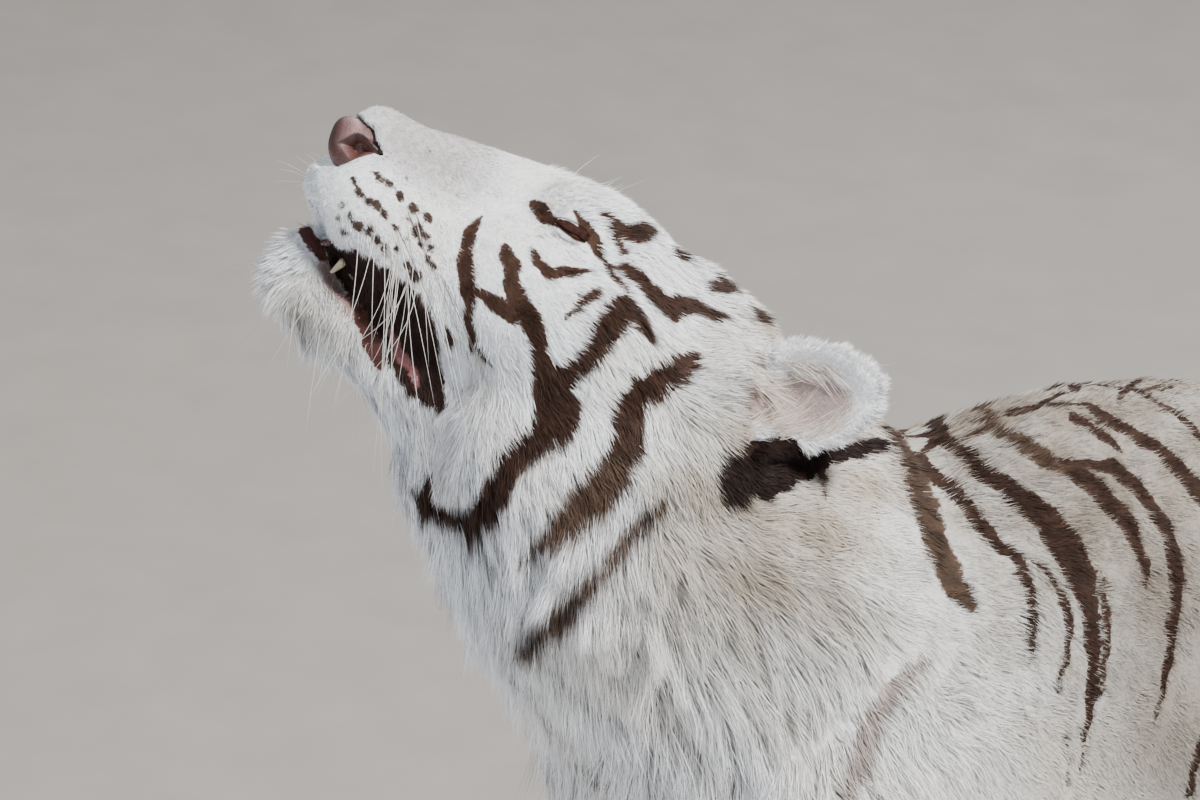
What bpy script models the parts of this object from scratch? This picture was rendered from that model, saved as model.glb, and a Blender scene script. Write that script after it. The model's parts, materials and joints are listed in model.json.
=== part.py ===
"""A life-size standing white tiger with its head raised, as a still museum model.

The animal faces -Y and stands on the plane Z = 0; +X is its left side. All lengths are metres.
Flesh is built as overlapping masses, fused into one skin-tight body by a voxel remesh, then parted
into named pieces with thin cuts. The surface stands at the tips of the coat.
"""

import bpy
import bmesh
from math import cos, radians, sin, pi
from mathutils import Matrix, Vector

# ---------------------------------------------------------------- driving dimensions
WITHERS_HEIGHT = 0.97       # floor to the top of the shoulders, coat included
BACK_HEIGHT = 0.925         # the dip behind the shoulders
CROUP_HEIGHT = 0.935        # top of the hips
BRISKET_HEIGHT = 0.49       # underside of the chest
FLANK_HEIGHT = 0.54         # underside of the belly at its tuck
TRUNK_LENGTH = 1.30         # point of the chest to the back of the thighs
CHEST_FRONT = -0.385        # Y of the point of the chest; the withers are at Y = 0
TAIL_LENGTH = 0.95
HEAD_PITCH = 37             # degrees that the muzzle points above level
HEAD_TURN = 18              # degrees that it turns to the animal's right
HEAD_TILT = 18              # degrees that the left ear is raised
NOSE_TIP = Vector((-0.100, -0.531, 1.160))
GAP = 0.0004                # clearance between neighbouring pieces
FUSE_VOXEL = 0.0065         # grid on which the masses are fused
RELAX_STEPS = 7             # smoothing passes after the fuse
KEPT_SHARE = 0.0155         # share of the fused triangles that is kept
HEAD_PLAINNESS = 0.66       # how readily facets are dropped on the head, against 1 elsewhere

STRIDE = {                  # how far each foot stands from its rest place along Y
    ("fore", 1): -0.055,
    ("fore", -1): 0.060,
    ("hind", 1): 0.075,
    ("hind", -1): -0.085,
}
SIDES = {"left": 1, "right": -1}
CM = 0.01

HEAD = (
    Matrix.Translation(NOSE_TIP)
    @ Matrix.Rotation(radians(-HEAD_TURN), 4, "Z")
    @ Matrix.Rotation(radians(-HEAD_PITCH), 4, "X")
    @ Matrix.Rotation(radians(-HEAD_TILT), 4, "Y")
)


def in_head(left, back, up):
    """A point given in centimetres left of, behind and above the tip of the nose."""
    return HEAD @ Vector((left * CM, back * CM, up * CM))


# ---------------------------------------------------------------- modelling helpers
def clear_scene():
    for obj in list(bpy.data.objects):
        bpy.data.objects.remove(obj)


def material(name, colour, roughness):
    made = bpy.data.materials.new(name)
    made.use_nodes = True
    shader = made.node_tree.nodes["Principled BSDF"]
    shader.inputs["Base Color"].default_value = (*colour, 1)
    shader.inputs["Roughness"].default_value = roughness
    return made


def add_object(name, bm, finish=None):
    """Turns a bmesh into a linked, smooth-shaded object."""
    mesh = bpy.data.meshes.new(name)
    bm.to_mesh(mesh)
    bm.free()
    obj = bpy.data.objects.new(name, mesh)
    bpy.context.scene.collection.objects.link(obj)
    if finish:
        mesh.materials.append(finish)
    mesh.shade_smooth()
    mesh.set_sharp_from_angle(angle=radians(50))
    return obj


def ball(bm, centre, semi_axes, turn=None, detail=3):
    """An ellipsoid; turn is a rotation matrix for its axes."""
    place = Matrix.Translation(centre) @ (turn or Matrix()).to_4x4()
    shape = Matrix.Diagonal((*semi_axes, 1))
    bmesh.ops.create_icosphere(bm, subdivisions=detail, radius=1, matrix=place @ shape)


def skin_rings(bm, rings):
    """Joins closed rings of points in order and fills both ends."""
    rows = [[bm.verts.new(p) for p in ring] for ring in rings]
    count = len(rows[0])
    for near, far in zip(rows, rows[1:]):
        for i in range(count):
            j = (i + 1) % count
            bm.faces.new((near[i], near[j], far[j], far[i]))
    bm.faces.new(rows[0][::-1])
    bm.faces.new(rows[-1])


def blended(stations, steps=5):
    """Stations of equal-length number rows, with smooth in-between rows added."""
    rows = [list(s) for s in stations]
    padded = [rows[0]] + rows + [rows[-1]]
    smooth = []
    for a, b, c, d in zip(padded, padded[1:], padded[2:], padded[3:]):
        for k in range(steps):
            t = k / steps
            smooth.append([
                0.5 * (2 * q + (r - p) * t + (2 * p - 5 * q + 4 * r - s) * t * t
                       + (3 * q - p - 3 * r + s) * t ** 3)
                for p, q, r, s in zip(a, b, c, d)
            ])
    return smooth + [rows[-1]]


def limb(bm, stations, across=Vector((1, 0, 0)), sides=24):
    """A tube along a bent line. Each station is (point, half width across, half depth)."""
    rows = blended([(*point, width, depth) for point, width, depth in stations])
    centres = [Vector(row[:3]) for row in rows]
    rings = []
    for i, row in enumerate(rows):
        along = (centres[min(i + 1, len(rows) - 1)] - centres[max(i - 1, 0)]).normalized()
        side = (across - along * across.dot(along)).normalized()
        front = along.cross(side)
        rings.append([
            centres[i] + side * row[3] * cos(2 * pi * k / sides) + front * row[4] * sin(2 * pi * k / sides)
            for k in range(sides)
        ])
        if i in (0, len(rows) - 1):
            turn = Matrix((side, front, along)).transposed()
            ball(bm, centres[i], (row[3], row[4], 0.8 * min(row[3], row[4])), turn)
    skin_rings(bm, rings)


def apply_modifiers(obj):
    graph = bpy.context.evaluated_depsgraph_get()
    mesh = bpy.data.meshes.new_from_object(obj.evaluated_get(graph))
    obj.modifiers.clear()
    obj.data = mesh
    return obj


def cut(obj, cutter, operation="DIFFERENCE"):
    modifier = obj.modifiers.new(cutter.name, "BOOLEAN")
    modifier.operation = operation
    modifier.solver = "EXACT"
    modifier.object = cutter
    cutter.hide_render = True
    cutter.display_type = "WIRE"


# ---------------------------------------------------------------- trunk, neck and tail
def trunk(bm):
    """Rings from the point of the chest to the buttocks: Y, top, underside, half width, widest level."""
    end = CHEST_FRONT + TRUNK_LENGTH
    stations = [
        (CHEST_FRONT, 0.800, 0.700, 0.050, 0.750),
        (-0.340, 0.870, 0.610, 0.115, 0.740),
        (-0.240, 0.925, 0.540, 0.148, 0.730),
        (-0.120, WITHERS_HEIGHT - 0.015, 0.505, 0.158, 0.720),
        (0.000, WITHERS_HEIGHT, BRISKET_HEIGHT, 0.163, 0.710),
        (0.140, BACK_HEIGHT + 0.018, BRISKET_HEIGHT - 0.005, 0.176, 0.700),
        (0.300, BACK_HEIGHT, BRISKET_HEIGHT - 0.010, 0.188, 0.680),
        (0.450, BACK_HEIGHT + 0.002, BRISKET_HEIGHT - 0.008, 0.188, 0.680),
        (0.580, CROUP_HEIGHT - 0.003, 0.500, 0.174, 0.700),
        (0.700, CROUP_HEIGHT, FLANK_HEIGHT, 0.150, 0.740),
        (0.800, CROUP_HEIGHT - 0.025, 0.610, 0.138, 0.760),
        (end - 0.035, 0.865, 0.670, 0.100, 0.770),
        (end, 0.820, 0.735, 0.045, 0.780),
    ]
    sides = 32
    rings = []
    for y, top, under, half, widest in blended(stations):
        ring = []
        for k in range(sides):
            a = 2 * pi * k / sides
            reach = top - widest if sin(a) > 0 else widest - under
            ring.append(Vector((half * cos(a), y, widest + reach * sin(a))))
        rings.append(ring)
    skin_rings(bm, rings)


def neck(bm):
    """A short deep neck that rises from between the shoulders to the back of the raised head."""
    limb(bm, [
        (Vector((0, -0.02, 0.750)), 0.130, 0.195),
        (Vector((0, -0.14, 0.762)), 0.150, 0.183),
        (Vector((-0.008, -0.24, 0.802)), 0.158, 0.172),
        (in_head(0, 29.0, -7.3), 0.142, 0.142),
        (in_head(0, 24.0, -4.0), 0.105, 0.105),
    ])
    ball(bm, Vector((-0.010, -0.325, 0.790)), (0.125, 0.100, 0.165))   # the bib under the throat


def tail_line():
    """Points down the tail: a hanging S whose tip lifts clear of the floor."""
    root = Vector((0, CHEST_FRONT + TRUNK_LENGTH - 0.06, 0.850))
    headings = [-28, -52, -66, -66, -52, -30, -6, 18, 34]
    step = TAIL_LENGTH / len(headings)
    points = [root]
    for i, heading in enumerate(headings):
        sway = 0.10 * sin(pi * i / len(headings))
        along = Vector((sway, cos(radians(heading)), sin(radians(heading)))).normalized()
        points.append(points[-1] + along * step)
    return points


def tail(bm):
    points = tail_line()
    last = len(points) - 1
    stations = []
    for i, point in enumerate(points):
        radius = 0.044 - 0.019 * (i / last) ** 0.8
        stations.append((point, radius, radius))
    limb(bm, stations)


# ---------------------------------------------------------------- legs
FORE_JOINTS = {
    "blade": (0.078, -0.005, 0.855),
    "shoulder": (0.140, -0.240, 0.690),
    "elbow": (0.148, -0.110, 0.520),
    "wrist": (0.132, -0.155, 0.185),
    "paw": (0.132, -0.185, 0.050),
}
HIND_JOINTS = {
    "hip": (0.082, 0.725, 0.780),
    "knee": (0.142, 0.605, 0.535),
    "hock": (0.120, 0.880, 0.275),
    "paw": (0.120, 0.825, 0.050),
}
SWING = {"blade": 0, "shoulder": 0.15, "elbow": 0.3, "wrist": 0.9, "hip": 0, "knee": 0.35, "hock": 0.95, "paw": 1}


def leg_joint(pair, side, name):
    """A joint's place on one side, swung along Y with that foot's stride."""
    x, y, z = (FORE_JOINTS if pair == "fore" else HIND_JOINTS)[name]
    return Vector((side * x, y + SWING[name] * STRIDE[pair, side], z))


def paw(bm, pair, side):
    """A broad flat pad, a wrist or instep above it and four toes abreast."""
    base = leg_joint(pair, side, "paw")
    wide = 1.0 if pair == "fore" else 0.88
    ball(bm, base + Vector((0, -0.015, -0.015)), (0.058 * wide, 0.070, 0.047))
    ball(bm, base + Vector((0, -0.045, 0.004)), (0.046 * wide, 0.055, 0.042))
    for place in toe_places(pair, side):
        ball(bm, place, (0.0195 * wide, 0.036, 0.030))
        ball(bm, place + Vector((0, 0.030, 0.018)), (0.0190 * wide, 0.036, 0.027))


def toe_places(pair, side):
    base = leg_joint(pair, side, "paw")
    wide = 1.0 if pair == "fore" else 0.88
    places = []
    for i in range(4):
        across = (i - 1.5) * 0.0345 * wide
        ahead = 0.092 - 0.017 * abs(i - 1.5) ** 1.5
        places.append(Vector((base.x + across, base.y - ahead, 0.022)))
    return places


def foreleg(bm, side):
    blade, shoulder, elbow, wrist, foot = (
        leg_joint("fore", side, n) for n in ("blade", "shoulder", "elbow", "wrist", "paw"))
    limb(bm, [
        (blade, 0.058, 0.090),
        (blade.lerp(shoulder, 0.5) + Vector((-side * 0.003, 0.01, 0)), 0.070, 0.130),
        (shoulder, 0.072, 0.100),
        (shoulder.lerp(elbow, 0.55) + Vector((side * 0.002, 0.012, 0)), 0.070, 0.104),
        (elbow, 0.063, 0.090),
        (elbow.lerp(wrist, 0.30), 0.058, 0.075),
        (elbow.lerp(wrist, 0.65), 0.051, 0.058),
        (wrist, 0.049, 0.052),
        (foot, 0.052, 0.050),
    ])
    ball(bm, shoulder.lerp(elbow, 0.45) + Vector((-side * 0.002, 0.085, 0.045)), (0.052, 0.085, 0.120))
    ball(bm, elbow + Vector((-side * 0.004, 0.048, 0.012)), (0.040, 0.042, 0.050))
    ball(bm, wrist + Vector((0, 0.038, -0.005)), (0.020, 0.020, 0.024))


def hindleg(bm, side):
    hip, knee, hock, foot = (leg_joint("hind", side, n) for n in ("hip", "knee", "hock", "paw"))
    limb(bm, [
        (hip, 0.078, 0.150),
        (hip.lerp(knee, 0.5) + Vector((side * 0.010, 0.045, 0)), 0.084, 0.165),
        (knee + Vector((0, 0.020, 0.01)), 0.072, 0.108),
        (knee.lerp(hock, 0.35) + Vector((0, 0.012, 0.012)), 0.059, 0.086),
        (knee.lerp(hock, 0.72) + Vector((0, 0.008, 0.006)), 0.046, 0.056),
        (hock, 0.041, 0.049),
        (hock.lerp(foot, 0.45), 0.041, 0.042),
        (foot, 0.048, 0.047),
    ])
    ball(bm, hip + Vector((side * 0.016, 0.085, -0.090)), (0.066, 0.098, 0.165))     # hamstring
    ball(bm, hip + Vector((side * 0.026, -0.050, -0.080)), (0.062, 0.110, 0.140))    # front of thigh
    ball(bm, knee.lerp(hock, 0.45) + Vector((-side * 0.004, 0.045, 0.050)), (0.040, 0.055, 0.095))
    ball(bm, hock + Vector((0, 0.022, 0.012)), (0.024, 0.022, 0.032))                # point of hock


# ---------------------------------------------------------------- head
def head(bm):
    """Skull, muzzle, cheeks and jaw, given in centimetres left, back and up from the nose tip."""
    turn = HEAD.to_3x3().to_4x4()

    def mass(left, back, up, wide, long, high):
        for side in ((1, -1) if left else (1,)):
            centre = in_head(side * left, back, up)
            ball(bm, centre, (wide * CM, long * CM, high * CM), turn)

    across = (turn @ Vector((1, 0, 0))).normalized()

    def ridge(*stations):
        limb(bm, [(in_head(0, back, up), w * CM, h * CM) for back, up, w, h in stations], across)

    mass(0, 25.5, 0.2, 9.0, 10.0, 8.3)          # cranium
    mass(3.0, 19.4, 5.0, 4.2, 6.2, 3.6)         # brow and forehead
    mass(4.2, 15.6, 5.9, 2.0, 3.4, 2.0)         # brow ridge over the eye
    mass(0, 29.5, 3.0, 7.8, 7.0, 5.2)           # back of the crown
    mass(7.2, 29.0, 1.0, 3.6, 4.6, 4.4)         # root of the ear
    ridge((2.2, 1.2, 2.6, 2.6), (7.0, 2.2, 3.4, 3.4), (12.5, 3.3, 4.2, 4.0), (18.0, 4.2, 5.0, 4.4))
    mass(0, 7.8, -1.0, 5.0, 7.0, 4.8)           # upper jaw
    mass(3.25, 5.6, -1.9, 3.3, 5.1, 3.8)        # whisker pads
    mass(3.7, 11.4, -2.4, 4.0, 6.0, 5.4)        # upper lips towards the mouth corner
    mass(5.0, 14.2, -0.9, 4.0, 5.4, 5.2)        # under the eyes
    mass(7.2, 20.5, -1.8, 5.0, 7.4, 6.8)        # cheekbones
    mass(7.4, 23.5, -8.0, 5.8, 8.0, 7.8)        # cheeks and their ruff
    ridge((3.6, -8.0, 3.2, 2.4), (8.5, -8.9, 4.3, 2.9), (14.0, -9.5, 5.2, 3.9), (21.0, -9.5, 6.5, 6.4))
    mass(0, 3.4, -8.6, 3.2, 2.9, 2.5)           # chin tuft
    mass(0, 22.0, -11.5, 7.5, 8.0, 6.6)         # throat


EYE_PLACE = (5.3, 15.4, 4.6)      # left, back, up
EYE_RADIUS = 0.0185
MOUTH_LINE = [                    # back, up of the upper lip; back, up of the lower lip
    (-3.0, -4.3, -5.5), (1.5, -4.6, -5.9), (5.5, -5.9, -7.3), (9.5, -7.2, -8.6), (14.6, -9.8, -10.1),
]
JAW_CUT_END = (20.5, -19.5)       # back, up where the cut behind the jaw leaves the throat
MOUTH_CORE = [(1.2, 2.8), (3.0, 8.0), (4.2, 16.0)]   # left, back of the closed middle of the mouth


def prism(name, outline, way, start, length):
    """A flat outline of points, pushed out to a solid."""
    bm = bmesh.new()
    near = [bm.verts.new(p + way * start) for p in outline]
    far = [bm.verts.new(p + way * (start + length)) for p in outline]
    count = len(outline)
    for i in range(count):
        j = (i + 1) % count
        bm.faces.new((near[i], near[j], far[j], far[i]))
    bm.faces.new(near[::-1])
    bm.faces.new(far)
    bmesh.ops.recalc_face_normals(bm, faces=bm.faces)
    return add_object(name, bm)


def mouth_cutters():
    """The parted lips, open only around a closed core, and a thin cut between skull and jaw."""
    left = (HEAD.to_3x3() @ Vector((1, 0, 0))).normalized()
    up = (HEAD.to_3x3() @ Vector((0, 0, 1))).normalized()
    upper = [(b, top) for b, top, low in MOUTH_LINE]
    lower = [(b, low) for b, top, low in MOUTH_LINE]
    lips = prism("cut_lips", [in_head(0, b, z) for b, z in upper + lower[::-1]], left, -0.16, 0.32)
    core = MOUTH_CORE + [(-x, b) for x, b in MOUTH_CORE[::-1]]
    subtract(lips, prism("cut_core", [in_head(x, b, 0) for x, b in core], up, -0.15, 0.13))
    middle = [(b, (top + low) / 2) for b, top, low in MOUTH_LINE] + [JAW_CUT_END]
    thin = GAP / CM / 2
    slit = [in_head(0, b, z + thin) for b, z in middle] + [in_head(0, b - 2 * thin, z - thin) for b, z in middle[::-1]]
    return [lips, prism("cut_jaw", slit, left, -0.16, 0.32)]


def eye(name, side, finish, grown=0.0):
    bm = bmesh.new()
    left, back, up = EYE_PLACE
    radius = EYE_RADIUS + grown
    ball(bm, in_head(side * left, back, up), (radius, radius, radius), detail=2)
    return add_object(name, bm, finish)


def nose_pad(name, finish, grown=0.0):
    """A broad soft wedge between the whisker pads, with a slanting hollow for each nostril."""
    bm = bmesh.new()
    turn = HEAD.to_3x3().to_4x4()
    size = (2.55 * CM + grown, 1.85 * CM + grown, 1.85 * CM + grown)
    ball(bm, in_head(0, 1.60, 1.25), size, turn, detail=2)
    return add_object(name, bm, finish)


def nostril_cutter(side):
    bm = bmesh.new()
    slant = HEAD.to_3x3().to_4x4() @ Matrix.Rotation(radians(side * 32), 4, "Y")
    ball(bm, in_head(side * 1.30, 0.55, 0.85), (0.46 * CM, 0.80 * CM, 0.66 * CM), slant, detail=1)
    return add_object("cut_nostril", bm)


EAR_BASE = (8.3, 30.9, 2.6)       # left, back, up of the root of the ear
EAR_LENGTH = 0.094
EAR_HALF_WIDTH = 0.037
EAR_THICKNESS = 0.009
EAR_ROOT_DEPTH = 0.020            # how far the cup is let into the head


def ear_axes(side):
    """The ear's length, width and opening directions in the head; the right ear is laid back."""
    along = Vector((0.45, 0.70, 0.55)) if side > 0 else Vector((-0.62, 0.78, -0.02))
    along = along.normalized()
    opening = Vector((side * 0.90, -0.42, 0.00))
    opening = (opening - along * opening.dot(along)).normalized()
    across = along.cross(opening)
    return along, across, opening


def ear(name, side, finish, grown=0.0):
    """A rounded cup: rows run from the root to the rim, columns from edge to edge."""
    along, across, opening = ear_axes(side)
    root = Vector(EAR_BASE) * CM
    if side < 0:
        root = Vector((-root.x, root.y, root.z - 0.008))
    rows, columns = 9, 7
    bm = bmesh.new()
    grid = []
    for i in range(rows):
        t = i / (rows - 1)
        height = (EAR_LENGTH + 2 * grown) * t - (EAR_ROOT_DEPTH + 2 * grown) * (1 - t)
        round_off = max(0.0, (t - 0.40) / 0.60)
        half = EAR_HALF_WIDTH * (0.80 + 0.20 * sin(pi * min(1, t / 0.5) / 2)) * (1 - round_off ** 2.2) ** 0.5
        half = max(half, 0.012)
        cup = 0.024 * (1 - 0.55 * t) * half / EAR_HALF_WIDTH
        row = []
        for j in range(columns):
            s = (2 * j / (columns - 1) - 1) * (1 + 2 * grown / half)
            hollow = 0.008 * round_off ** 2 - cup * (1 - s * s)
            row.append(bm.verts.new(root + along * height + across * half * s + opening * hollow))
        grid.append(row)
    for near, far in zip(grid, grid[1:]):
        for j in range(columns - 1):
            bm.faces.new((near[j], near[j + 1], far[j + 1], far[j]))
    made = add_object(name, bm, finish)
    made.data.transform(HEAD)
    wall = made.modifiers.new("Wall", "SOLIDIFY")
    wall.thickness = EAR_THICKNESS + 3 * grown
    wall.offset = 0
    wall.use_even_offset = True
    return apply_modifiers(made)


def canine(name, side, upper, finish, grown=0.0):
    """A gently curved cone that stands in the jaw and shows its tip between the lips."""
    if upper:
        root, tip, radius = (side * 2.45, 4.9, -3.6), (side * 2.60, 4.6, -6.9), 0.0062
    else:
        root, tip, radius = (side * 2.05, 3.6, -8.2), (side * 2.15, 3.1, -5.75), 0.0055
    stations = []
    for i in range(4):
        t = i / 3
        point = Vector(root).lerp(Vector(tip), t)
        point.y += 0.25 * sin(pi * t)
        size = radius * (1 - 0.80 * t ** 1.3)
        stations.append((in_head(*point), size, size))
    return spike(name, stations, finish, grown)


# ---------------------------------------------------------------- claws
def claw(name, place, finish, grown=0.0):
    """A short hooked cone, nearly drawn back into the toe; place is the centre of that toe."""
    root = place + Vector((0, -0.014, 0.010))
    tip = place + Vector((0, -0.040, -0.004))
    stations = []
    for i in range(3):
        t = i / 2
        point = root.lerp(tip, t) + Vector((0, 0, 0.0045 * sin(pi * t)))
        stations.append((point, 0.0042 * (1 - 0.8 * t), 0.0055 * (1 - 0.8 * t)))
    return spike(name, stations, finish, grown, sides=5)


def spike(name, stations, finish, grown, sides=8):
    """A tapering rod through its stations, flat at both ends; grown widens and lengthens it."""
    along = (stations[-1][0] - stations[0][0]).normalized()
    stations = [(point, wide + 1.3 * grown, deep + 1.3 * grown) for point, wide, deep in stations]
    stations[0] = (stations[0][0] - along * grown, *stations[0][1:])
    stations[-1] = (stations[-1][0] + along * grown, *stations[-1][1:])
    across = along.cross(Vector((0.3, 0, 1))).normalized()
    front = along.cross(across)
    bm = bmesh.new()
    skin_rings(bm, [
        [point + across * wide * cos(2 * pi * k / sides) + front * deep * sin(2 * pi * k / sides)
         for k in range(sides)]
        for point, wide, deep in stations
    ])
    bmesh.ops.recalc_face_normals(bm, faces=bm.faces)
    return add_object(name, bm, finish)


# ---------------------------------------------------------------- parting the fused body
def slab(name, centre, normal, half):
    """A thin square sheet that parts a body where it passes through."""
    bm = bmesh.new()
    turn = Vector(normal).to_track_quat("Z", "Y").to_matrix().to_4x4()
    size = Matrix.Diagonal((2 * half, 2 * half, GAP, 1))
    bmesh.ops.create_cube(bm, size=1, matrix=Matrix.Translation(centre) @ turn @ size)
    return add_object(name, bm)


def shell(name, centre, half_sizes, tilt):
    """A thin-walled box, tilted about X, that frees what lies inside it."""
    bm = bmesh.new()
    turn = Matrix.Translation(centre) @ Matrix.Rotation(radians(tilt), 4, "X")
    outer = Matrix.Diagonal((*(2 * h for h in half_sizes), 1))
    inner = Matrix.Diagonal((*(2 * (h - GAP) for h in half_sizes), 1))
    bmesh.ops.create_cube(bm, size=1, matrix=turn @ outer)
    made = bmesh.ops.create_cube(bm, size=1, matrix=turn @ inner)
    bmesh.ops.reverse_faces(bm, faces=list({f for v in made["verts"] for f in v.link_faces}))
    return add_object(name, bm)


def floor_block():
    bm = bmesh.new()
    size = Matrix.Diagonal((4, 6, 0.2, 1))
    bmesh.ops.create_cube(bm, size=1, matrix=Matrix.Translation((0, 0.5, -0.1)) @ size)
    return add_object("cut_floor", bm)


def subtract(obj, *made):
    for cutter in made:
        cut(obj, cutter)
    apply_modifiers(obj)
    for cutter in made:
        bpy.data.objects.remove(cutter)


def loose_pieces(obj):
    """The separate closed shells of an object, each as its own bmesh, largest first."""
    bm = bmesh.new()
    bm.from_mesh(obj.data)
    seen = set()
    groups = []
    for start in bm.verts:
        if start in seen:
            continue
        group, reach = [], [start]
        seen.add(start)
        while reach:
            vert = reach.pop()
            group.append(vert)
            for edge in vert.link_edges:
                other = edge.other_vert(vert)
                if other not in seen:
                    seen.add(other)
                    reach.append(other)
        groups.append({v.index for v in group})
    bm.free()
    pieces = []
    for group in groups:
        piece = bmesh.new()
        piece.from_mesh(obj.data)
        bmesh.ops.delete(piece, geom=[v for v in piece.verts if v.index not in group], context="VERTS")
        pieces.append(piece)
    pieces.sort(key=lambda piece: -piece.calc_volume())
    return pieces


def centre_of_volume(bm):
    total, moment = 0.0, Vector()
    for face in bm.faces:
        corners = [v.co for v in face.verts]
        for b, c in zip(corners[1:], corners[2:]):
            share = corners[0].dot(b.cross(c)) / 6
            total += share
            moment += share * (corners[0] + b + c) / 4
    return moment / total


def part_off(obj, made, named, finish):
    """Cuts an object and names every piece by the closest of the named points; crumbs are dropped."""
    subtract(obj, *made)
    found = {}
    for piece in loose_pieces(obj):
        if piece.calc_volume() < 2e-6:
            piece.free()
            continue
        middle = centre_of_volume(piece)
        name = min(named, key=lambda n: (named[n] - middle).length)
        if name in found:
            raise ValueError("two pieces want the name " + name)
        found[name] = piece
    bpy.data.objects.remove(obj)
    missing = set(named) - set(found)
    if missing:
        raise ValueError("no piece for " + ", ".join(sorted(missing)))
    return {name: add_object(name, piece, finish) for name, piece in found.items()}


def part_body(body, finish):
    """Frees the shoulders and thighs, then cuts across the legs, trunk, tail, neck and jaw."""
    shells = []
    anchors = {"torso": Vector((0, 0.25, 0.72))}
    for word, side in SIDES.items():
        elbow, hip = leg_joint("fore", side, "elbow"), leg_joint("hind", side, "hip")
        centre = Vector((side * 0.224, elbow.y - 0.040, 0.668))
        shells.append(shell("cut_shoulder_" + word, centre, (0.150, 0.168, 0.190), -12))
        centre = Vector((side * 0.234, hip.y + 0.012, 0.668))
        shells.append(shell("cut_thigh_" + word, centre, (0.160, 0.228, 0.208), 16))
        anchors["shoulder_" + word] = Vector((side * 0.13, -0.16, 0.66))
        anchors["forearm_" + word] = leg_joint("fore", side, "wrist") + Vector((0, 0, 0.02))
        anchors["thigh_" + word] = Vector((side * 0.13, 0.72, 0.66))
        anchors["shank_" + word] = leg_joint("hind", side, "hock")
    made = part_off(body, [floor_block()] + shells, anchors, finish)

    for word, side in SIDES.items():
        wrist, paw_centre = leg_joint("fore", side, "wrist"), leg_joint("fore", side, "paw")
        name = "forearm_" + word
        made.update(part_off(
            made.pop(name),
            [slab("cut_wrist", wrist + Vector((0, 0, -0.045)), (0, 0.1, 1), 0.10)],
            {name: wrist + Vector((0, 0, 0.13)), "forepaw_" + word: paw_centre}, finish))
        hock, toes = leg_joint("hind", side, "hock"), leg_joint("hind", side, "paw")
        name = "shank_" + word
        made.update(part_off(
            made.pop(name),
            [slab("cut_hock", hock + Vector((0, -0.005, -0.045)), (0, 0.2, 0.98), 0.10),
             slab("cut_instep", toes + Vector((0, 0.005, 0.062)), (0, 0.1, 1), 0.10)],
            {name: hock + Vector((0, -0.06, 0.09)), "hind_cannon_" + word: hock.lerp(toes, 0.5),
             "hindpaw_" + word: toes + Vector((0, 0, -0.02))}, finish))

    tail_points = tail_line()
    slabs = [
        slab("cut_head", in_head(0, 28.0, -5.0), HEAD.to_3x3() @ Vector((0, 0.80, -0.60)), 0.26),
        slab("cut_neck", Vector((0, -0.190, 0.790)), (0, -0.64, 0.77), 0.32),
        slab("cut_chest", Vector((0, 0.180, 0.70)), (0, 1, 0), 0.33),
        slab("cut_belly", Vector((0, 0.480, 0.73)), (0, 0.898, -0.439), 0.33),
    ]
    anchors = {
        "head": in_head(0, 15, -2),
        "neck": Vector((0, -0.27, 0.84)),
        "chest": Vector((0, -0.08, 0.70)),
        "belly": Vector((0, 0.33, 0.70)),
        "hips": Vector((0, 0.70, 0.75)),
    }
    for word, first, last in (("root", 0, 3), ("middle", 3, 6), ("tip", 6, 9)):
        anchors["tail_" + word] = (tail_points[first] + tail_points[last]) / 2
        start = max(first, 1)
        along = tail_points[start + 1] - tail_points[start - 1]
        place = tail_points[start].lerp(tail_points[start + 1], 0.3)
        slabs.append(slab("cut_tail_" + word, place, along, 0.09))
    made.update(part_off(made.pop("torso"), slabs, anchors, finish))
    made.update(part_off(
        made.pop("head"), mouth_cutters(),
        {"head": in_head(0, 17, 0), "lower_jaw": in_head(0, 9, -9)}, finish))
    return made


def thin_out(body):
    """Fuses and smooths the masses, then thins the facets, less on the head and paws."""
    fuse = body.modifiers.new("Fuse", "REMESH")
    fuse.mode = "VOXEL"
    fuse.voxel_size = FUSE_VOXEL
    relax = body.modifiers.new("Relax", "SMOOTH")
    relax.iterations = RELAX_STEPS
    apply_modifiers(body)
    plain = body.vertex_groups.new(name="plain")
    for vert in body.data.vertices:
        on_head = (HEAD.inverted() @ vert.co).y < 0.26
        on_paw = vert.co.z < 0.10
        plain.add([vert.index], HEAD_PLAINNESS if on_head else 0.9 if on_paw else 1.0, "REPLACE")
    thin = body.modifiers.new("Thin", "DECIMATE")
    thin.ratio = KEPT_SHARE
    thin.vertex_group = "plain"
    thin.vertex_group_factor = 1.0
    apply_modifiers(body)
    body.vertex_groups.clear()


def stand_at_origin():
    """Moves everything so that the origin is the bottom centre of the bounding box."""
    points = [v.co for obj in bpy.data.objects for v in obj.data.vertices]
    low = Vector([min(p[i] for p in points) for i in range(3)])
    high = Vector([max(p[i] for p in points) for i in range(3)])
    shift = Matrix.Translation((-(low.x + high.x) / 2, -(low.y + high.y) / 2, 0))
    for obj in bpy.data.objects:
        obj.data.transform(shift)


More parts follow.
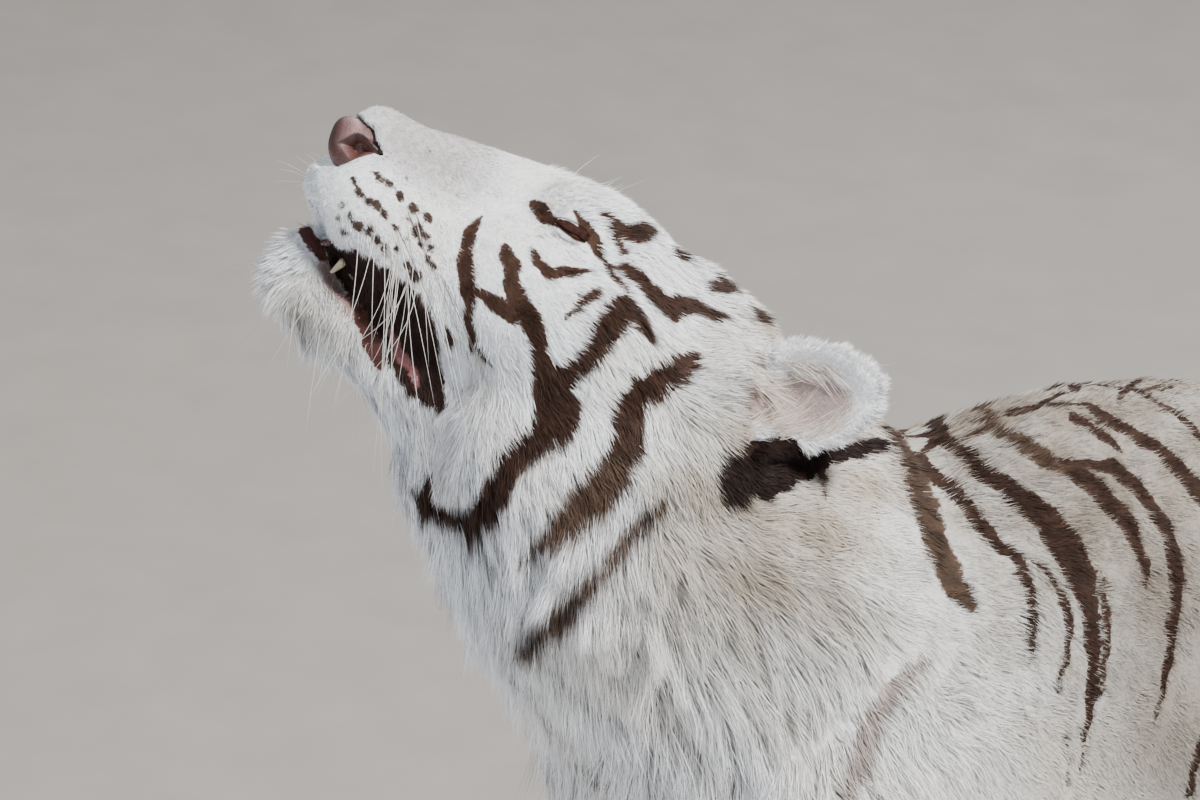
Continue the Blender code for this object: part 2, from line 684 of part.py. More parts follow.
def build():
    clear_scene()
    white_coat = material("white_coat", (0.80, 0.79, 0.76), 0.85)
    nose_skin = material("nose_skin", (0.40, 0.22, 0.19), 0.45)
    eye_amber = material("eye_amber", (0.45, 0.20, 0.05), 0.08)
    tooth = material("tooth", (0.80, 0.72, 0.55), 0.30)
    horn = material("claw_horn", (0.45, 0.40, 0.33), 0.35)
    ear_coat = material("ear_coat", (0.62, 0.58, 0.53), 0.85)

    bm = bmesh.new()
    trunk(bm)
    neck(bm)
    tail(bm)
    head(bm)
    for side in SIDES.values():
        foreleg(bm, side)
        hindleg(bm, side)
        for pair in ("fore", "hind"):
            paw(bm, pair, side)
    body = add_object("body", bm, white_coat)
    thin_out(body)
    print("fused", len(body.data.polygons))
    made = part_body(body, white_coat)

    subtract(made["head"], nose_pad("cut_nose", None, GAP))
    made["nose"] = nose_pad("nose", nose_skin)
    subtract(made["nose"], nostril_cutter(1), nostril_cutter(-1))
    for word, side in SIDES.items():
        for holder in ("head", "neck"):
            subtract(made[holder], ear("cut_ear", side, None, GAP))
        subtract(made["head"], eye("cut_eye", side, None, GAP))
        made["eye_" + word] = eye("eye_" + word, side, eye_amber)
        made["ear_" + word] = ear("ear_" + word, side, ear_coat)
        for upper in (True, False):
            name = ("canine_upper_" if upper else "canine_lower_") + word
            for jaw in ("head", "lower_jaw"):
                subtract(made[jaw], canine("cut_canine", side, upper, None, GAP))
            made[name] = canine(name, side, upper, tooth)
        for pair in ("fore", "hind"):
            foot = made[pair + "paw_" + word]
            for i, place in enumerate(toe_places(pair, side)):
                name = "claw_%s_%s_%d" % (pair, word, i + 1)
                subtract(foot, claw("cut_claw", place, None, GAP))
                made[name] = claw(name, place, horn)
    stand_at_origin()


build()
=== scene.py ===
"""The dressed white tiger: skin, coat, whiskers, eyes, nose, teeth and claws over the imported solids."""

import json
from math import cos, pi, radians, sin

import bmesh
import bpy
import numpy as np
from mathutils import Matrix, Vector
from mathutils.bvhtree import BVHTree
from mathutils.kdtree import KDTree

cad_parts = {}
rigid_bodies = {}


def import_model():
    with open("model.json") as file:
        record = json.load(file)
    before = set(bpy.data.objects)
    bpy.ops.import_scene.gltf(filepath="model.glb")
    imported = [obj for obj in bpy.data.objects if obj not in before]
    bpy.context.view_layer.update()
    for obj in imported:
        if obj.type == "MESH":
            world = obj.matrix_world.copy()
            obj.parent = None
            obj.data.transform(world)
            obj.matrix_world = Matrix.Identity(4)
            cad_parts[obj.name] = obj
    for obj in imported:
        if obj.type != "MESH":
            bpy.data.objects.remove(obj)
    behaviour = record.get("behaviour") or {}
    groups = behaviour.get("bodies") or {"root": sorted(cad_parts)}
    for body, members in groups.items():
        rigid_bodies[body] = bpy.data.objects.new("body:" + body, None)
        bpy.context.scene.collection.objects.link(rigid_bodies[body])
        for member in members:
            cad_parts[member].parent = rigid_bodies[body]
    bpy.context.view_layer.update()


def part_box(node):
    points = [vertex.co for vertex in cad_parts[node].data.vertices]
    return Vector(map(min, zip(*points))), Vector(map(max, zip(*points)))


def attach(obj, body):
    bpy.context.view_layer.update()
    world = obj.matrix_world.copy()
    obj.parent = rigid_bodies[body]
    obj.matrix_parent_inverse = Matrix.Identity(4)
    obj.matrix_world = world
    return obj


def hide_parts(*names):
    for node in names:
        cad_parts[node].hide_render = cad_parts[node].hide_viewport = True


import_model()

# ---- Skin ------------------------------------------------------------------------------------
# The hide over all the flesh, from the nose to the tip of the tail, one closed skin. The packed
# regions are swollen a hair's breadth so that their cuts close, fused, relaxed, made finer on the
# head and drawn in by the depth of the coat that grows on them.

# The head is raised and turned, so places on it are centimetres left of, behind and above the tip
# of the nose. Places on the body are centimetres from a floor point under the withers.
SIDES = {"left": 1, "right": -1}
HEAD_TURN = Matrix.Rotation(radians(-18), 3, "Z") @ Matrix.Rotation(radians(-37), 3, "X")
HEAD_TURN = np.array(HEAD_TURN @ Matrix.Rotation(radians(-18), 3, "Y"))
EYE = np.array((5.3, 15.4, 4.6))
eye_low, eye_high = (np.array(corner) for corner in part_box("eye_left"))
NOSE_TIP = (eye_low + eye_high) / 2 - HEAD_TURN @ EYE / 100
WITHERS = np.array((NOSE_TIP[0] + 0.100, NOSE_TIP[1] + 0.531, 0.0))


def from_head(points):
    """Head centimetres to metres in the row's frame."""
    return NOSE_TIP + (np.asarray(points, float) / 100) @ HEAD_TURN.T


def to_head(points):
    """Metres in the row's frame to head centimetres: left, back and up."""
    return (np.asarray(points) - NOSE_TIP) @ HEAD_TURN * 100


def from_body(points):
    """Body centimetres to metres in the row's frame."""
    return WITHERS + np.asarray(points, float) / 100


def to_body(points):
    """Metres in the row's frame to body centimetres: left, behind the withers and up."""
    return (np.asarray(points) - WITHERS) * 100


def unit(vectors):
    return vectors / np.maximum(np.linalg.norm(vectors, axis=-1, keepdims=True), 1e-9)


def ramp(values, low, high):
    """A smooth step from 0 at the low value to 1 at the high one."""
    t = np.clip((values - low) / (high - low), 0, 1)
    return t * t * (3 - 2 * t)


# How the coat lies, one row for each place: where it is, which way the hair lies there, how deep the
# coat is, how long its hair is (both millimetres) and how many degrees the hair stands off the skin.
HEAD_LIE = [
    ((0, 3, 3), (0, 1, 0.15), 2.2, 5, 14),
    ((0, 10, 4), (0, 1, 0.2), 2.6, 7, 14),
    ((0, 18, 8), (0, 0.95, 0.3), 3.4, 13, 24),
    ((0, 28, 8), (0, 1, 0.1), 4.5, 16, 22),
    ((0, 0.5, -1.5), (0, 0.2, -1), 1.2, 4, 24),
    ((2.5, 0.8, -1.5), (0.5, 0.5, -0.6), 1.2, 4, 24),
    ((4.5, 3, -1.5), (0.3, 0.8, -0.4), 1.6, 4.5, 20),
    ((5.5, 5, 0), (0.3, 0.85, -0.2), 2.0, 5, 18),
    ((5.5, 6, -3), (0.2, 0.75, -0.6), 2.2, 5.5, 22),
    ((5.0, 4.5, -4), (0.2, 0.5, -0.8), 2.2, 6, 26),
    ((5.0, 8, -5), (0.1, 0.6, -0.8), 2.6, 8, 24),
    ((5.5, 11, -7), (0.1, 0.6, -0.8), 3.0, 9, 20),
    ((5.5, 14, -9), (0.1, 0.6, -0.8), 3.0, 9, 18),
    ((3.0, 1.5, -3.2), (0.4, 0.3, -0.85), 1.8, 5, 26),
    ((2.5, 5, -8.0), (0.3, 0.3, -0.9), 3.0, 8, 24),
    ((3.0, 9, -10.0), (0.3, 0.4, -0.9), 4.0, 12, 24),
    ((6.5, 12, 1.5), (0.3, 0.95, 0.0), 2.6, 7, 14),
    ((7, 15, 0), (0.25, 0.95, -0.1), 3.5, 10, 15),
    ((5.5, 16, 7.2), (0.15, 0.8, 0.6), 3.5, 12, 26),
    ((7, 19, 5.5), (0.25, 0.9, 0.3), 3.5, 11, 18),
    ((10, 21, -1), (0.2, 0.9, -0.35), 5, 15, 16),
    ((10, 25, -4), (0.15, 0.8, -0.55), 8, 22, 18),
    ((10, 27, -10), (0.1, 0.40, -0.95), 13, 44, 20),
    ((8, 20, -9), (0.15, 0.75, -0.65), 8, 22, 18),
    ((7, 22, -16), (0.1, 0.3, -0.95), 14, 46, 16),
    ((5, 16, -11), (0.1, 0.7, -0.7), 8, 20, 22),
    ((4, 11, -13), (0.1, 0.5, -0.85), 8, 24, 28),
    ((0, 0, -7.5), (0, -0.35, -1), 6, 17, 48),
    ((1.5, 1.5, -9), (0.1, -0.1, -1), 8, 24, 46),
    ((0, 4, -11), (0, 0.25, -1), 10, 27, 36),
    ((2.5, 7, -12), (0.1, 0.45, -0.9), 9, 24, 26),
    ((0, 12, -13), (0, 0.6, -0.8), 9, 26, 19),
    ((0, 20, -17), (0, 0.5, -0.85), 12, 34, 15),
    ((8.5, 29, 3), (0.3, 0.75, 0.4), 5, 16, 20),
    ((9.5, 30, -3), (0.15, 0.75, -0.6), 10, 30, 18),
]
BODY_LIE = [
    ((0, -20, 95), (0, 1, 0.1), 9, 20, 15),
    ((6, -24, 93), (0.1, 1, -.2), 8, 15, 12),
    ((0, 0, 97), (0, 1, 0), 6, 12, 13),
    ((0, 40, 92), (0, 1, 0), 7, 15, 12),
    ((0, 75, 93), (0, 1, -0.1), 7, 15, 12),
    ((15, -27, 84), (0, 0.5, -0.85), 13, 38, 20),
    ((14, -14, 88), (0, 0.75, -0.6), 7, 15, 13),
    ((12, -37, 77), (0, 0.1, -1), 15, 56, 18),
    ((15, -30, 66), (0, 0.2, -1), 9, 26, 16),
    ((18, -20, 70), (0, 0.4, -0.9), 6, 12, 13),
    ((17, -8, 86), (0, 0.9, -0.4), 5.5, 11, 12),
    ((18, -2, 76), (0, 0.75, -0.6), 5.5, 11, 12),
    ((18, 6, 64), (0, 0.6, -0.8), 5.5, 11, 12),
    ((18, 20, 75), (0, 0.9, -0.4), 6, 13, 12),
    ((19, 45, 72), (0, 0.9, -0.4), 7, 15, 12),
    ((18, 70, 78), (0, 0.6, -0.75), 7, 15, 12),
    ((18, 80, 65), (0, 0.3, -0.9), 8, 18, 12),
    ((0, -40, 76), (0, -0.05, -1), 14, 42, 14),
    ((0, -36, 62), (0, 0.3, -0.95), 12, 36, 16),
    ((0, -5, 49), (0, 1, 0), 10, 28, 16),
    ((0, 30, 48), (0, 1, 0), 12, 34, 18),
    ((0, 62, 52), (0, 1, 0.2), 12, 34, 18),
    ((0, 90, 78), (0, 0.1, -1), 9, 26, 18),
    ((14, -13, 52), (0, 0.15, -1), 7, 18, 14),
    ((14, -15, 35), (0, 0.05, -1), 5, 13, 12),
    ((13, -17, 18), (0, 0, -1), 4, 11, 12),
    ((14, 60, 52), (0, 0.3, -0.95), 7, 18, 14),
    ((13, 75, 40), (0, 0.6, -0.8), 6, 15, 12),
    ((12, 88, 28), (0, 0, -1), 5, 12, 12),
    ((12, 87, 16), (0, -0.1, -1), 4, 11, 12),
]
tail_boxes = [np.array(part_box(n)) for n in ("tail_root", "tail_middle", "tail_tip")]
tail_marks = to_body(np.array([
    (tail_boxes[0][0][0] + 0.03, tail_boxes[0][0][1] + 0.02, tail_boxes[0][1][2] - 0.03),
    (tail_boxes[1][0] + tail_boxes[1][1]) / 2,
    (tail_boxes[2][1][0] - 0.03, tail_boxes[2][0][1] + 0.12, tail_boxes[2][0][2] + 0.03),
    (tail_boxes[2][1][0] - 0.02, tail_boxes[2][1][1], tail_boxes[2][1][2]),
]))
tail_ways = [tail_marks[1] - tail_marks[0], tail_marks[2] - tail_marks[0],
             tail_marks[3] - tail_marks[1], tail_marks[3] - tail_marks[2]]

# Each row reaches as far as its last value says, in metres, before its neighbours take over.
lie_rows = []
for rows, to_metres, turned, reach in ((HEAD_LIE, from_head, HEAD_TURN, 0.035),
                                       (BODY_LIE, from_body, np.eye(3), 0.09)):
    for spot, way, depth, length, lift in rows:
        for side in (1, -1) if spot[0] else (1,):
            flipped = np.array((side, 1, 1))
            at, lies = to_metres(spot * flipped), turned @ (way * flipped)
            lie_rows.append((at, lies, depth, length, lift, reach))
for spot, way in zip(tail_marks, tail_ways):
    lie_rows.append((from_body(spot), unit(way), 7, 18, 14, 0.06))
for foot in ("forepaw_left", "forepaw_right", "hindpaw_left", "hindpaw_right"):
    low, high = (np.array(corner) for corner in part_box(foot))
    middle = (low + high) / 2
    lie_rows.append((middle * (1, 1, 0) + (0, -0.03, 0.05), np.array((0, -0.85, -0.5)), 3.0, 8, 12, 0.04))
    lie_rows.append((middle * (1, 1, 0) + (0, 0.05, 0.06), np.array((0, -0.2, -1)), 3.5, 9, 12, 0.04))
lie_place = np.array([row[0] for row in lie_rows])
lie_way = unit(np.array([row[1] for row in lie_rows]))
lie_size = np.array([row[2:5] for row in lie_rows], float)
lie_reach = np.array([row[5] for row in lie_rows])


def lie_of_coat(points):
    """Direction, coat depth, hair length (metres) and lift (radians) at each point."""
    ways, sizes = [], []
    for part in np.array_split(points, max(1, len(points) // 20000)):
        gap = np.linalg.norm(part[:, None] - lie_place[None], axis=2) / lie_reach
        weight = 1 / (gap ** 2 + 0.08) ** 2.5
        weight /= weight.sum(axis=1, keepdims=True)
        ways.append(unit(weight @ lie_way))
        sizes.append(weight @ lie_size)
    ways, sizes = np.concatenate(ways), np.concatenate(sizes)
    return ways, sizes[:, 0] / 1000, sizes[:, 1] / 1000, np.radians(sizes[:, 2])


# The ears: each has its root, the way it stands, the way across it and the way it opens, in the
# head's directions. The left one stands up and out, and the right one is laid back.
EAR_ROOTS = {"left": (8.3, 30.9, 2.6), "right": (-8.3, 30.9, 1.8)}
EAR_WAYS = {"left": (.45, .70, .55), "right": (-.62, .78, -.02)}
EARS = {}
for word, side in SIDES.items():
    along = unit(np.array(EAR_WAYS[word]))
    opening = np.array((side * .90, -.42, 0.0))
    opening = unit(opening - along * (opening @ along))
    EARS[word] = (np.array(EAR_ROOTS[word]), along, np.cross(along, opening), opening)
NOSE_PAD = np.array((0, 1.97, .74))


def bare_nose(points):
    """True where the bare leather of the nose lies instead of fur."""
    left, back, up = to_head(points).T
    roof = 2.6 - .62 * np.maximum(0, back - 1.1)
    return (up > -1.25 + 1.08 * (back - .3)) & (up < roof) & (back < 3) & (np.abs(left) < 2.9)


def ear_place(points, word):
    """Centimetres up the ear, across it and out of its hollow."""
    root, along, sideways, opening = EARS[word]
    rel = to_head(points) - root
    return rel @ along, rel @ sideways, rel @ opening


def in_ear(up_ear, sideways, out):
    """True for places on the free part of one ear."""
    return (up_ear > 1.2) & (up_ear < 11) & (np.abs(sideways) < 3.9) & (np.abs(out) < 2.3)


def on_ear(points):
    return np.any([in_ear(*ear_place(points, word)) for word in SIDES], axis=0)


def eye_distance(points):
    """Centimetres from each point to the middle of the nearer eye."""
    spots = to_head(points)
    return np.minimum(*(np.linalg.norm(spots - EYE * (side, 1, 1), axis=1) for side in (1, -1)))


def new_object(name, points, faces, look, smooth=True):
    """A plain mesh from points and faces, in one material."""
    name = name.replace(" ", "_")
    mesh = bpy.data.meshes.new(name)
    if isinstance(faces, np.ndarray):
        corners = faces.shape[1]
        mesh.vertices.add(len(points))
        mesh.vertices.foreach_set("co", np.ascontiguousarray(points, np.float32).ravel())
        mesh.loops.add(faces.size)
        mesh.loops.foreach_set("vertex_index", np.ascontiguousarray(faces, np.int32).ravel())
        mesh.polygons.add(len(faces))
        mesh.polygons.foreach_set("loop_start", np.arange(0, faces.size, corners, dtype=np.int32))
        mesh.update(calc_edges=True)
        mesh.validate()
    else:
        mesh.from_pydata([tuple(p) for p in points], [], [tuple(f) for f in faces])
    made = bpy.data.objects.new(name, mesh)
    bpy.context.scene.collection.objects.link(made)
    mesh.materials.append(look)
    if smooth:
        mesh.shade_smooth()
    return made


def place(obj, slot_name, *nodes):
    """Ties a piece to the body and hides the solids that it replaces; the finish slot that it is given is
    not used.
    """
    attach(obj, "root")
    if nodes:
        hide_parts(*nodes)


def node_mesh(name):
    """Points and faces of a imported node, with its doubled points joined."""
    bm = bmesh.new()
    bm.from_mesh(bpy.data.objects[name].data)
    bmesh.ops.remove_doubles(bm, verts=bm.verts, dist=2e-5)
    bm.normal_update()
    points = np.array([v.co for v in bm.verts])
    normals = np.array([v.normal for v in bm.verts])
    bm.verts.index_update()
    faces = [[v.index for v in f.verts] for f in bm.faces]
    bm.free()
    return points, normals, faces


FLESH = ["head", "lower_jaw", "neck", "chest", "belly", "hips", "tail_root", "tail_middle", "tail_tip"]
for word in SIDES:
    FLESH += ["shoulder_" + word, "forearm_" + word, "forepaw_" + word, "thigh_" + word]
    FLESH += ["shank_" + word, "hind_cannon_" + word, "hindpaw_" + word, "ear_" + word]
SWELL = 0.0007          # closes the cuts between the regions
GRAIN_OF_SKIN = 0.0058  # the finest form that the fused skin keeps
KEPT_SHARE = 0.24       # of the faces behind the neck, where the form is plain
FINE_AS_FAR_AS, SMOOTH_AS_FAR_AS = 21, 33  # centimetres behind the nose
flesh_points, flesh_faces = [], []
for name in FLESH + ["nose", "eye_left", "eye_right"]:
    points, normals, faces = node_mesh(name)
    start = sum(len(p) for p in flesh_points)
    flesh_points.append(points + normals * SWELL)
    flesh_faces += [[start + i for i in face] for face in faces]

skin_look = bpy.data.materials.new("furred skin")
skin = new_object("skin", np.concatenate(flesh_points), flesh_faces, skin_look)
fuse = skin.modifiers.new("Fuse", "REMESH")
fuse.mode = "VOXEL"
fuse.voxel_size = GRAIN_OF_SKIN
relax = skin.modifiers.new("Relax", "SMOOTH")
relax.iterations = 3
fused = bpy.data.meshes.new_from_object(skin.evaluated_get(bpy.context.evaluated_depsgraph_get()))
skin.modifiers.clear()
skin.data = fused
places = np.array([v.co for v in fused.vertices])
off_head = np.clip((to_head(places)[:, 1] - 40) / 12, 0, 1)
group = skin.vertex_groups.new(name="off head")
for level in range(5):
    chosen = np.where(np.round(off_head * 4) == level)[0].tolist()
    group.add(chosen, level / 4, "REPLACE")
thin = skin.modifiers.new("Thin", "DECIMATE")
thin.ratio = KEPT_SHARE
thin.vertex_group = "off head"
bm = bmesh.new()
bm.from_object(skin, bpy.context.evaluated_depsgraph_get())
skin.modifiers.clear()
skin.vertex_groups.clear()
face_part = [f for f in bm.faces if to_head(np.array(f.calc_center_median()))[1] < FINE_AS_FAR_AS]
face_edges = list({e for f in face_part for e in f.edges})
bmesh.ops.subdivide_edges(bm, edges=face_edges, cuts=1, use_grid_fill=True)
head_part = [v for v in bm.verts if to_head(np.array(v.co))[1] < SMOOTH_AS_FAR_AS]
for _ in range(2):
    bmesh.ops.smooth_vert(bm, verts=head_part, factor=0.5, use_axis_x=True, use_axis_y=True, use_axis_z=True)
bm.normal_update()
points = np.array([v.co for v in bm.verts])
normals = np.array([v.normal for v in bm.verts])

# The skin lies as deep under the solids as its coat is thick: nothing at the soles, little on the
# ears and none round the eyes.
_, depth, _, _ = lie_of_coat(points)
depth *= ramp(points[:, 2], 0.000, 0.030) * 0.9 + 0.1
depth[(points[:, 2] < 0.012) & (normals[:, 2] < -0.6)] = 0
depth[on_ear(points)] = .0012
depth *= ramp(eye_distance(points), 2.2, 3.6)
points -= normals * depth[:, None]

# Soft forms pushed out of the skin, each with its middle, how far it reaches and its push.
PUSHES = [
    ((1.3, .8, -2.8), 2.2, (0, -1.05, 0)),         # front of the upper lip
    ((4.9, 4.8, -2.8), 2.6, (.40, -.05, -.25)),    # whisker pad
    ((1.0, 1.6, -6.6), 2.0, (0, -.10, 1.5)),       # front of the lower lip
    ((1.1, 2.3, 2.9), 2.0, (0, -.35, .50)),        # roof of the nose
    ((0.8, 6.4, -9.9), 2.2, (0, -.1, -.40)),       # under the chin
]
spots = to_head(points)
for side in (1, -1):
    for middle, reach, push in PUSHES:
        near = np.linalg.norm(spots - np.array(middle) * (side, 1, 1), axis=1)
        amount = np.exp(-(near / reach) ** 2)[:, None]
        points += amount * (HEAD_TURN @ (np.array(push) * (side, 1, 1))) / 100

# A bed for the nose pad, a socket round each eyeball and a slit between its lids.
SOCKET = 2.00
spots = to_head(points)
pad = bare_nose(points)
spots[pad, 1] += 1.0
spots[pad, 0] *= .48
points[pad] = from_head(spots[pad])
for side in (1, -1):
    middle = EYE * (side, 1, 1)
    rel = spots - middle
    far = np.linalg.norm(rel, axis=1)
    shallow = (far < SOCKET + .02) & (rel[:, 0] * side > -.6)
    points[shallow] = from_head(middle + rel[shallow] / far[shallow, None] * SOCKET)
spots = to_head(points)
for side in (1, -1):
    rel = (spots - EYE * (side, 1, 1)) * (side, 1, 1)
    slit = (rel[:, 0] > 0) & ((rel[:, 1] / 1.15) ** 2 + (rel[:, 2] / .55) ** 2 < 1)
    points[slit] = from_head(EYE * (side, 1, 1) + rel[slit] * (side, 1, 1) * .70)
points[:, 2] = np.maximum(points[:, 2], 0)
for vert, point in zip(bm.verts, points):
    vert.co = point
bmesh.ops.triangulate(bm, faces=bm.faces)
bm.normal_update()
bm.to_mesh(skin.data)
bm.free()
skin.data.materials.clear()
skin.data.materials.append(skin_look)
skin.data.shade_smooth()
place(skin, "white_coat", *FLESH)

skin_points = np.array([v.co for v in skin.data.vertices])
skin_faces = np.array([p.vertices for p in skin.data.polygons])
skin_tree = BVHTree.FromPolygons(skin_points.tolist(), skin_faces.tolist())

# ---- Markings --------------------------------------------------------------------------------
# The stripes, spots and bare patches: dyed in the hair and in the skin under it, so both carry the
# same ones. Each is a line laid over the skin, thin at its ends, with a colour of its kind. The same
# lines lay painted shadow in part of the dark patch under each ear and painted shade in the crease
# below each lower lid.

# On the head a row is centimetres behind and above the nose tip and half the stripe's width; on the
# body it is centimetres behind the withers, degrees round the trunk and half the width.
HEAD_STRIPES = {
    "cheek front": [(10, 2.1, .13), (9.9, 1.3, .34), (10, .5, .43), (10.2, -.3, .45), (10.6, -1, .43),
        (11.1, -1.6, .43), (11.8, -2.3, .47), (12.4, -3, .32), (12.9, -3.7, .28), (13.5, -4.3, .38),
        (14.1, -4.9, .45), (14.4, -5.4, .28)],
    "cheek front tail": [(14.6, -5.3, .13), (14.9, -5.2, .21), (15.3, -5.3, .28), (16, -5.4, .11)],
    "cheek spot": [(12.2, -5.1, .15), (12.8, -5.5, .34), (13.3, -5.8, .17)],
    "cheek middle": [(12, 1.4, .19), (12.5, 1, .42), (13, .7, .53), (13.3, .2, .45), (13.7, -.3, .53),
        (14.4, -.9, .62), (15.1, -1.2, .62), (15.9, -1.5, .62), (16.5, -1.8, .60), (17.2, -2.5, .57),
        (17.8, -3.2, .53), (18.4, -3.6, .62), (18.9, -4.1, .85), (19.5, -4.7, .94)],
    "cheek branch": [(12, -2.2, .28), (12.6, -2, .36), (13.2, -2, .43), (14, -1.9, .47),
        (14.8, -1.9, .53)],
    "under eye": [(13.5, 2.3, .11), (13.8, 2.1, .23), (14.3, 1.8, .38), (14.8, 1.7, .43),
        (15.4, 1.7, .47), (15.8, 2.1, .42), (16.3, 2.5, .38), (16.9, 2.9, .28), (17.4, 3.4, .17),
        (17.7, 3.6, .08)],
    "temple fleck": [(18.5, 2.8, .15), (18.2, 2.2, .26), (18, 1.4, .25), (17.8, .7, .21),
        (17.5, 0, .17), (17.5, -.4, .09)],
    "cheek rear top": [(23.6, 2.1, .17), (23, 2.2, .42), (22.2, 2.4, .53), (21.3, 2.7, .62),
        (20.6, 2.8, .76), (20.3, 1.9, .81), (20.2, 1, .81), (20.3, .1, .81), (20.3, -.9, .72),
        (20.1, -1.8, .66), (19.8, -2.7, .62), (19.6, -3.6, .81), (19.6, -4.4, .94)],
    "cheek rear": [(19.6, -4.4, 1.2), (20.2, -5, 1.3), (20.7, -5.8, 1.3), (20.8, -6.7, 1.08),
        (20.5, -7.9, .91), (20.3, -9.1, .79), (20.3, -10.5, .79), (20.6, -11.8, .79),
        (21.1, -12.9, .91), (21.5, -14.1, 1.02), (22, -15.2, .75), (22.8, -16.1, .41),
        (23.2, -16.5, .16)],
    "jaw bar top": [(26.9, 2.4, .38), (26.3, 2.2, .72), (26, 1.6, .85), (25.5, .6, .99),
        (25, -.3, 1.04), (24.5, -1.4, 1.05), (24.7, -3, 1.02), (25.4, -4, .91), (25.7, -5.3, 1.0)],
    "nostril tail": [(1.9, 1.35, .10), (2.5, 1.75, .12), (3.1, 2.15, .07)],
    "throat front": [(16.6, -15, .26), (17.7, -16, .45)],
    "throat bridge": [(21.5, -14.2, .91), (21.2, -15, .91), (20.1, -15.3, .79), (19.1, -15.4, .68)],
    "throat rear": [(18, -13.7, .27), (18.3, -14.5, .52), (19, -15.5, .86), (19.6, -16.6, .5)],
    "tear patch": [(12.5, 4.7, .25), (12.9, 4.6, .49), (13.3, 4.5, .45), (13.8, 4.6, .38),
        (14.3, 4.7, .38)],
    "eye tail": [(14.9, 5.9, .18), (15.5, 5.7, .34), (16, 5.5, .42), (16.7, 5.2, .36), (17.1, 4.9, .32),
        (17.7, 4.5, .32), (18.3, 4.3, .32), (18.9, 4, .32), (19.6, 3.8, .25), (20.2, 3.6, .11)],
    "brow": [(16.3, 6.7, .18), (17, 6.8, .34), (17.7, 6.7, .42), (18.5, 6.7, .48), (19.1, 7, .62),
        (19.7, 7.5, .66), (20.2, 8, .36)],
    "brow second": [(17.1, 6.5, .2), (17.7, 6.2, .30), (18.4, 5.9, .32), (19, 5.5, .24),
        (19.2, 5.4, .10)],
    "temple": [(18.8, 4.5, .15), (19.4, 4.6, .50), (20.2, 4.7, .72), (21, 4.7, .80), (21.7, 4.4, .88),
        (22.6, 4.3, .98), (23.5, 4.4, .92), (24.3, 5, .72), (25, 5.4, .58), (25.8, 5.5, .58),
        (26.7, 5.6, .48), (27.5, 6, .2)],
}
HEAD_CROWN = [
    [(4.0, 22.1, 6.8, .35), (3.1, 22.5, 7.2, .75), (2.2, 23.0, 7.5, .85),
     (1.3, 23.6, 7.7, .85), (.5, 24.0, 7.8, .4)],
    [(4.1, 25.9, 6.7, .35), (3.1, 26.3, 7.1, .75), (2.2, 26.8, 7.4, .85),
     (1.3, 27.3, 7.6, .85), (.5, 27.8, 7.6, .4)],
    [(3.6, 29.3, 6.8, .35), (2.7, 29.7, 7.1, .70), (1.9, 30.2, 7.3, .75),
     (1.1, 30.6, 7.3, .75), (.4, 31.0, 7.3, .35)],
]
# Under each ear: the dark fur behind the ear, made darker still as painted shadow that the ear casts.
HEAD_DARK_AND_SHADOW = {
    "under ear": [(33.4, -3.4, .7), (33.3, -2.2, 1.3), (33.9, -1.1, 1.7), (34.9, .1, 1.6), (36, 1, 1.2),
        (37.4, 2.2, .8), (39.3, 3.4, .6), (41.1, 4.6, .6), (42.4, 5.3, .4)],
}
HEAD_BROWN = {
    "jaw bar": [(25.7, -5.3, .95), (25.8, -6.7, 1.25), (25.7, -8.3, 1.36), (25.6, -10, 1.25),
        (25.6, -11.4, 1.02), (25.3, -12.8, .75), (25, -13.9, .34)],
    "ruff bar": [(29.4, -5.9, .23), (29.6, -6.5, .39), (29.5, -7.6, .48), (29.4, -8.8, .48),
        (29.4, -10.1, .5), (29.3, -11.4, .5), (29.2, -12.7, .57), (29.2, -14, .68), (29.3, -15.5, .79),
        (29.4, -17.1, .79), (29.5, -18.4, .63), (29.9, -19.6, .27)],
    "behind ear low": [(37.8, 1.8, .3), (38.3, 1, .35), (38.9, .3, .2)],
}
HEAD_GREY = {
    # The grey line in the crease below each lower lid is painted shade.
    "shade in the lower lid crease": [(13.2, 2.9, .08), (14.3, 3.6, .09), (15.3, 4, .11), (16.1, 4.2, .13),
        (16.7, 4.2, .11)],
    "face fleck": [(11.2, 2.4, .09), (11.2, 1.8, .09)],
}
WHISKER_ROOTS = [
    (2.6, .1, .13), (3.1, .3, .21), (3.8, .3, .24), (4.8, .1, .26), (6, -.2, .29), (7, 0, .29),
    (1.8, -1, .18), (2.4, -1.2, .24), (2.8, -1.2, .21), (3.4, -1.4, .24), (3.9, -1.4, .24),
    (4.6, -1.5, .26), (5.6, -1.8, .21), (6.6, -1.9, .18),
    (2.1, -2.7, .16), (2.9, -2.8, .18), (3.6, -3, .26), (4.4, -3, .21), (5.2, -3.2, .21),
    (5.8, -3.2, .21), (6.3, -3.4, .16), (6.5, -2.9, .16),
    (6.2, -.9, .18), (7.2, -1.2, .34), (7.7, -1, .18), (7.7, -1.7, .18), (8.3, -1.5, .18),
    (8.6, -2.2, .21), (9.1, -2.4, .21),
    (8.6, -3.5, .34), (7.8, -3.4, .24), (5.4, 3.6, .12), (4.8, 1.3, .13), (2.4, -3.4, .13),
    (3.2, -3.9, .13),
]
HEAD_PINK = {
    "corner of the lip": [(9.8, -7.7, .18), (10.5, -8, .34), (11.3, -8.5, .39), (12.2, -8.9, .37),
        (13, -9.3, .24), (13.5, -9.6, .10)],
}
HEAD_RED = {
    "inside of the lip": [(6.3, -7.4, .2), (7.2, -7.9, .5), (8.4, -8.4, .62), (9.6, -9.1, .6),
        (10.8, -9.8, .35)],
    "front of the lip": [(1, -5.2, .3), (1.9, -5.5, .47), (2.7, -5.9, .52), (3.7, -6.3, .39)],
}
HEAD_PALE = {
    "edge of the chin": [(3.9, -6.8, .39), (5, -7.2, .6), (6.1, -7.7, .5), (7, -8.2, .3)],
}
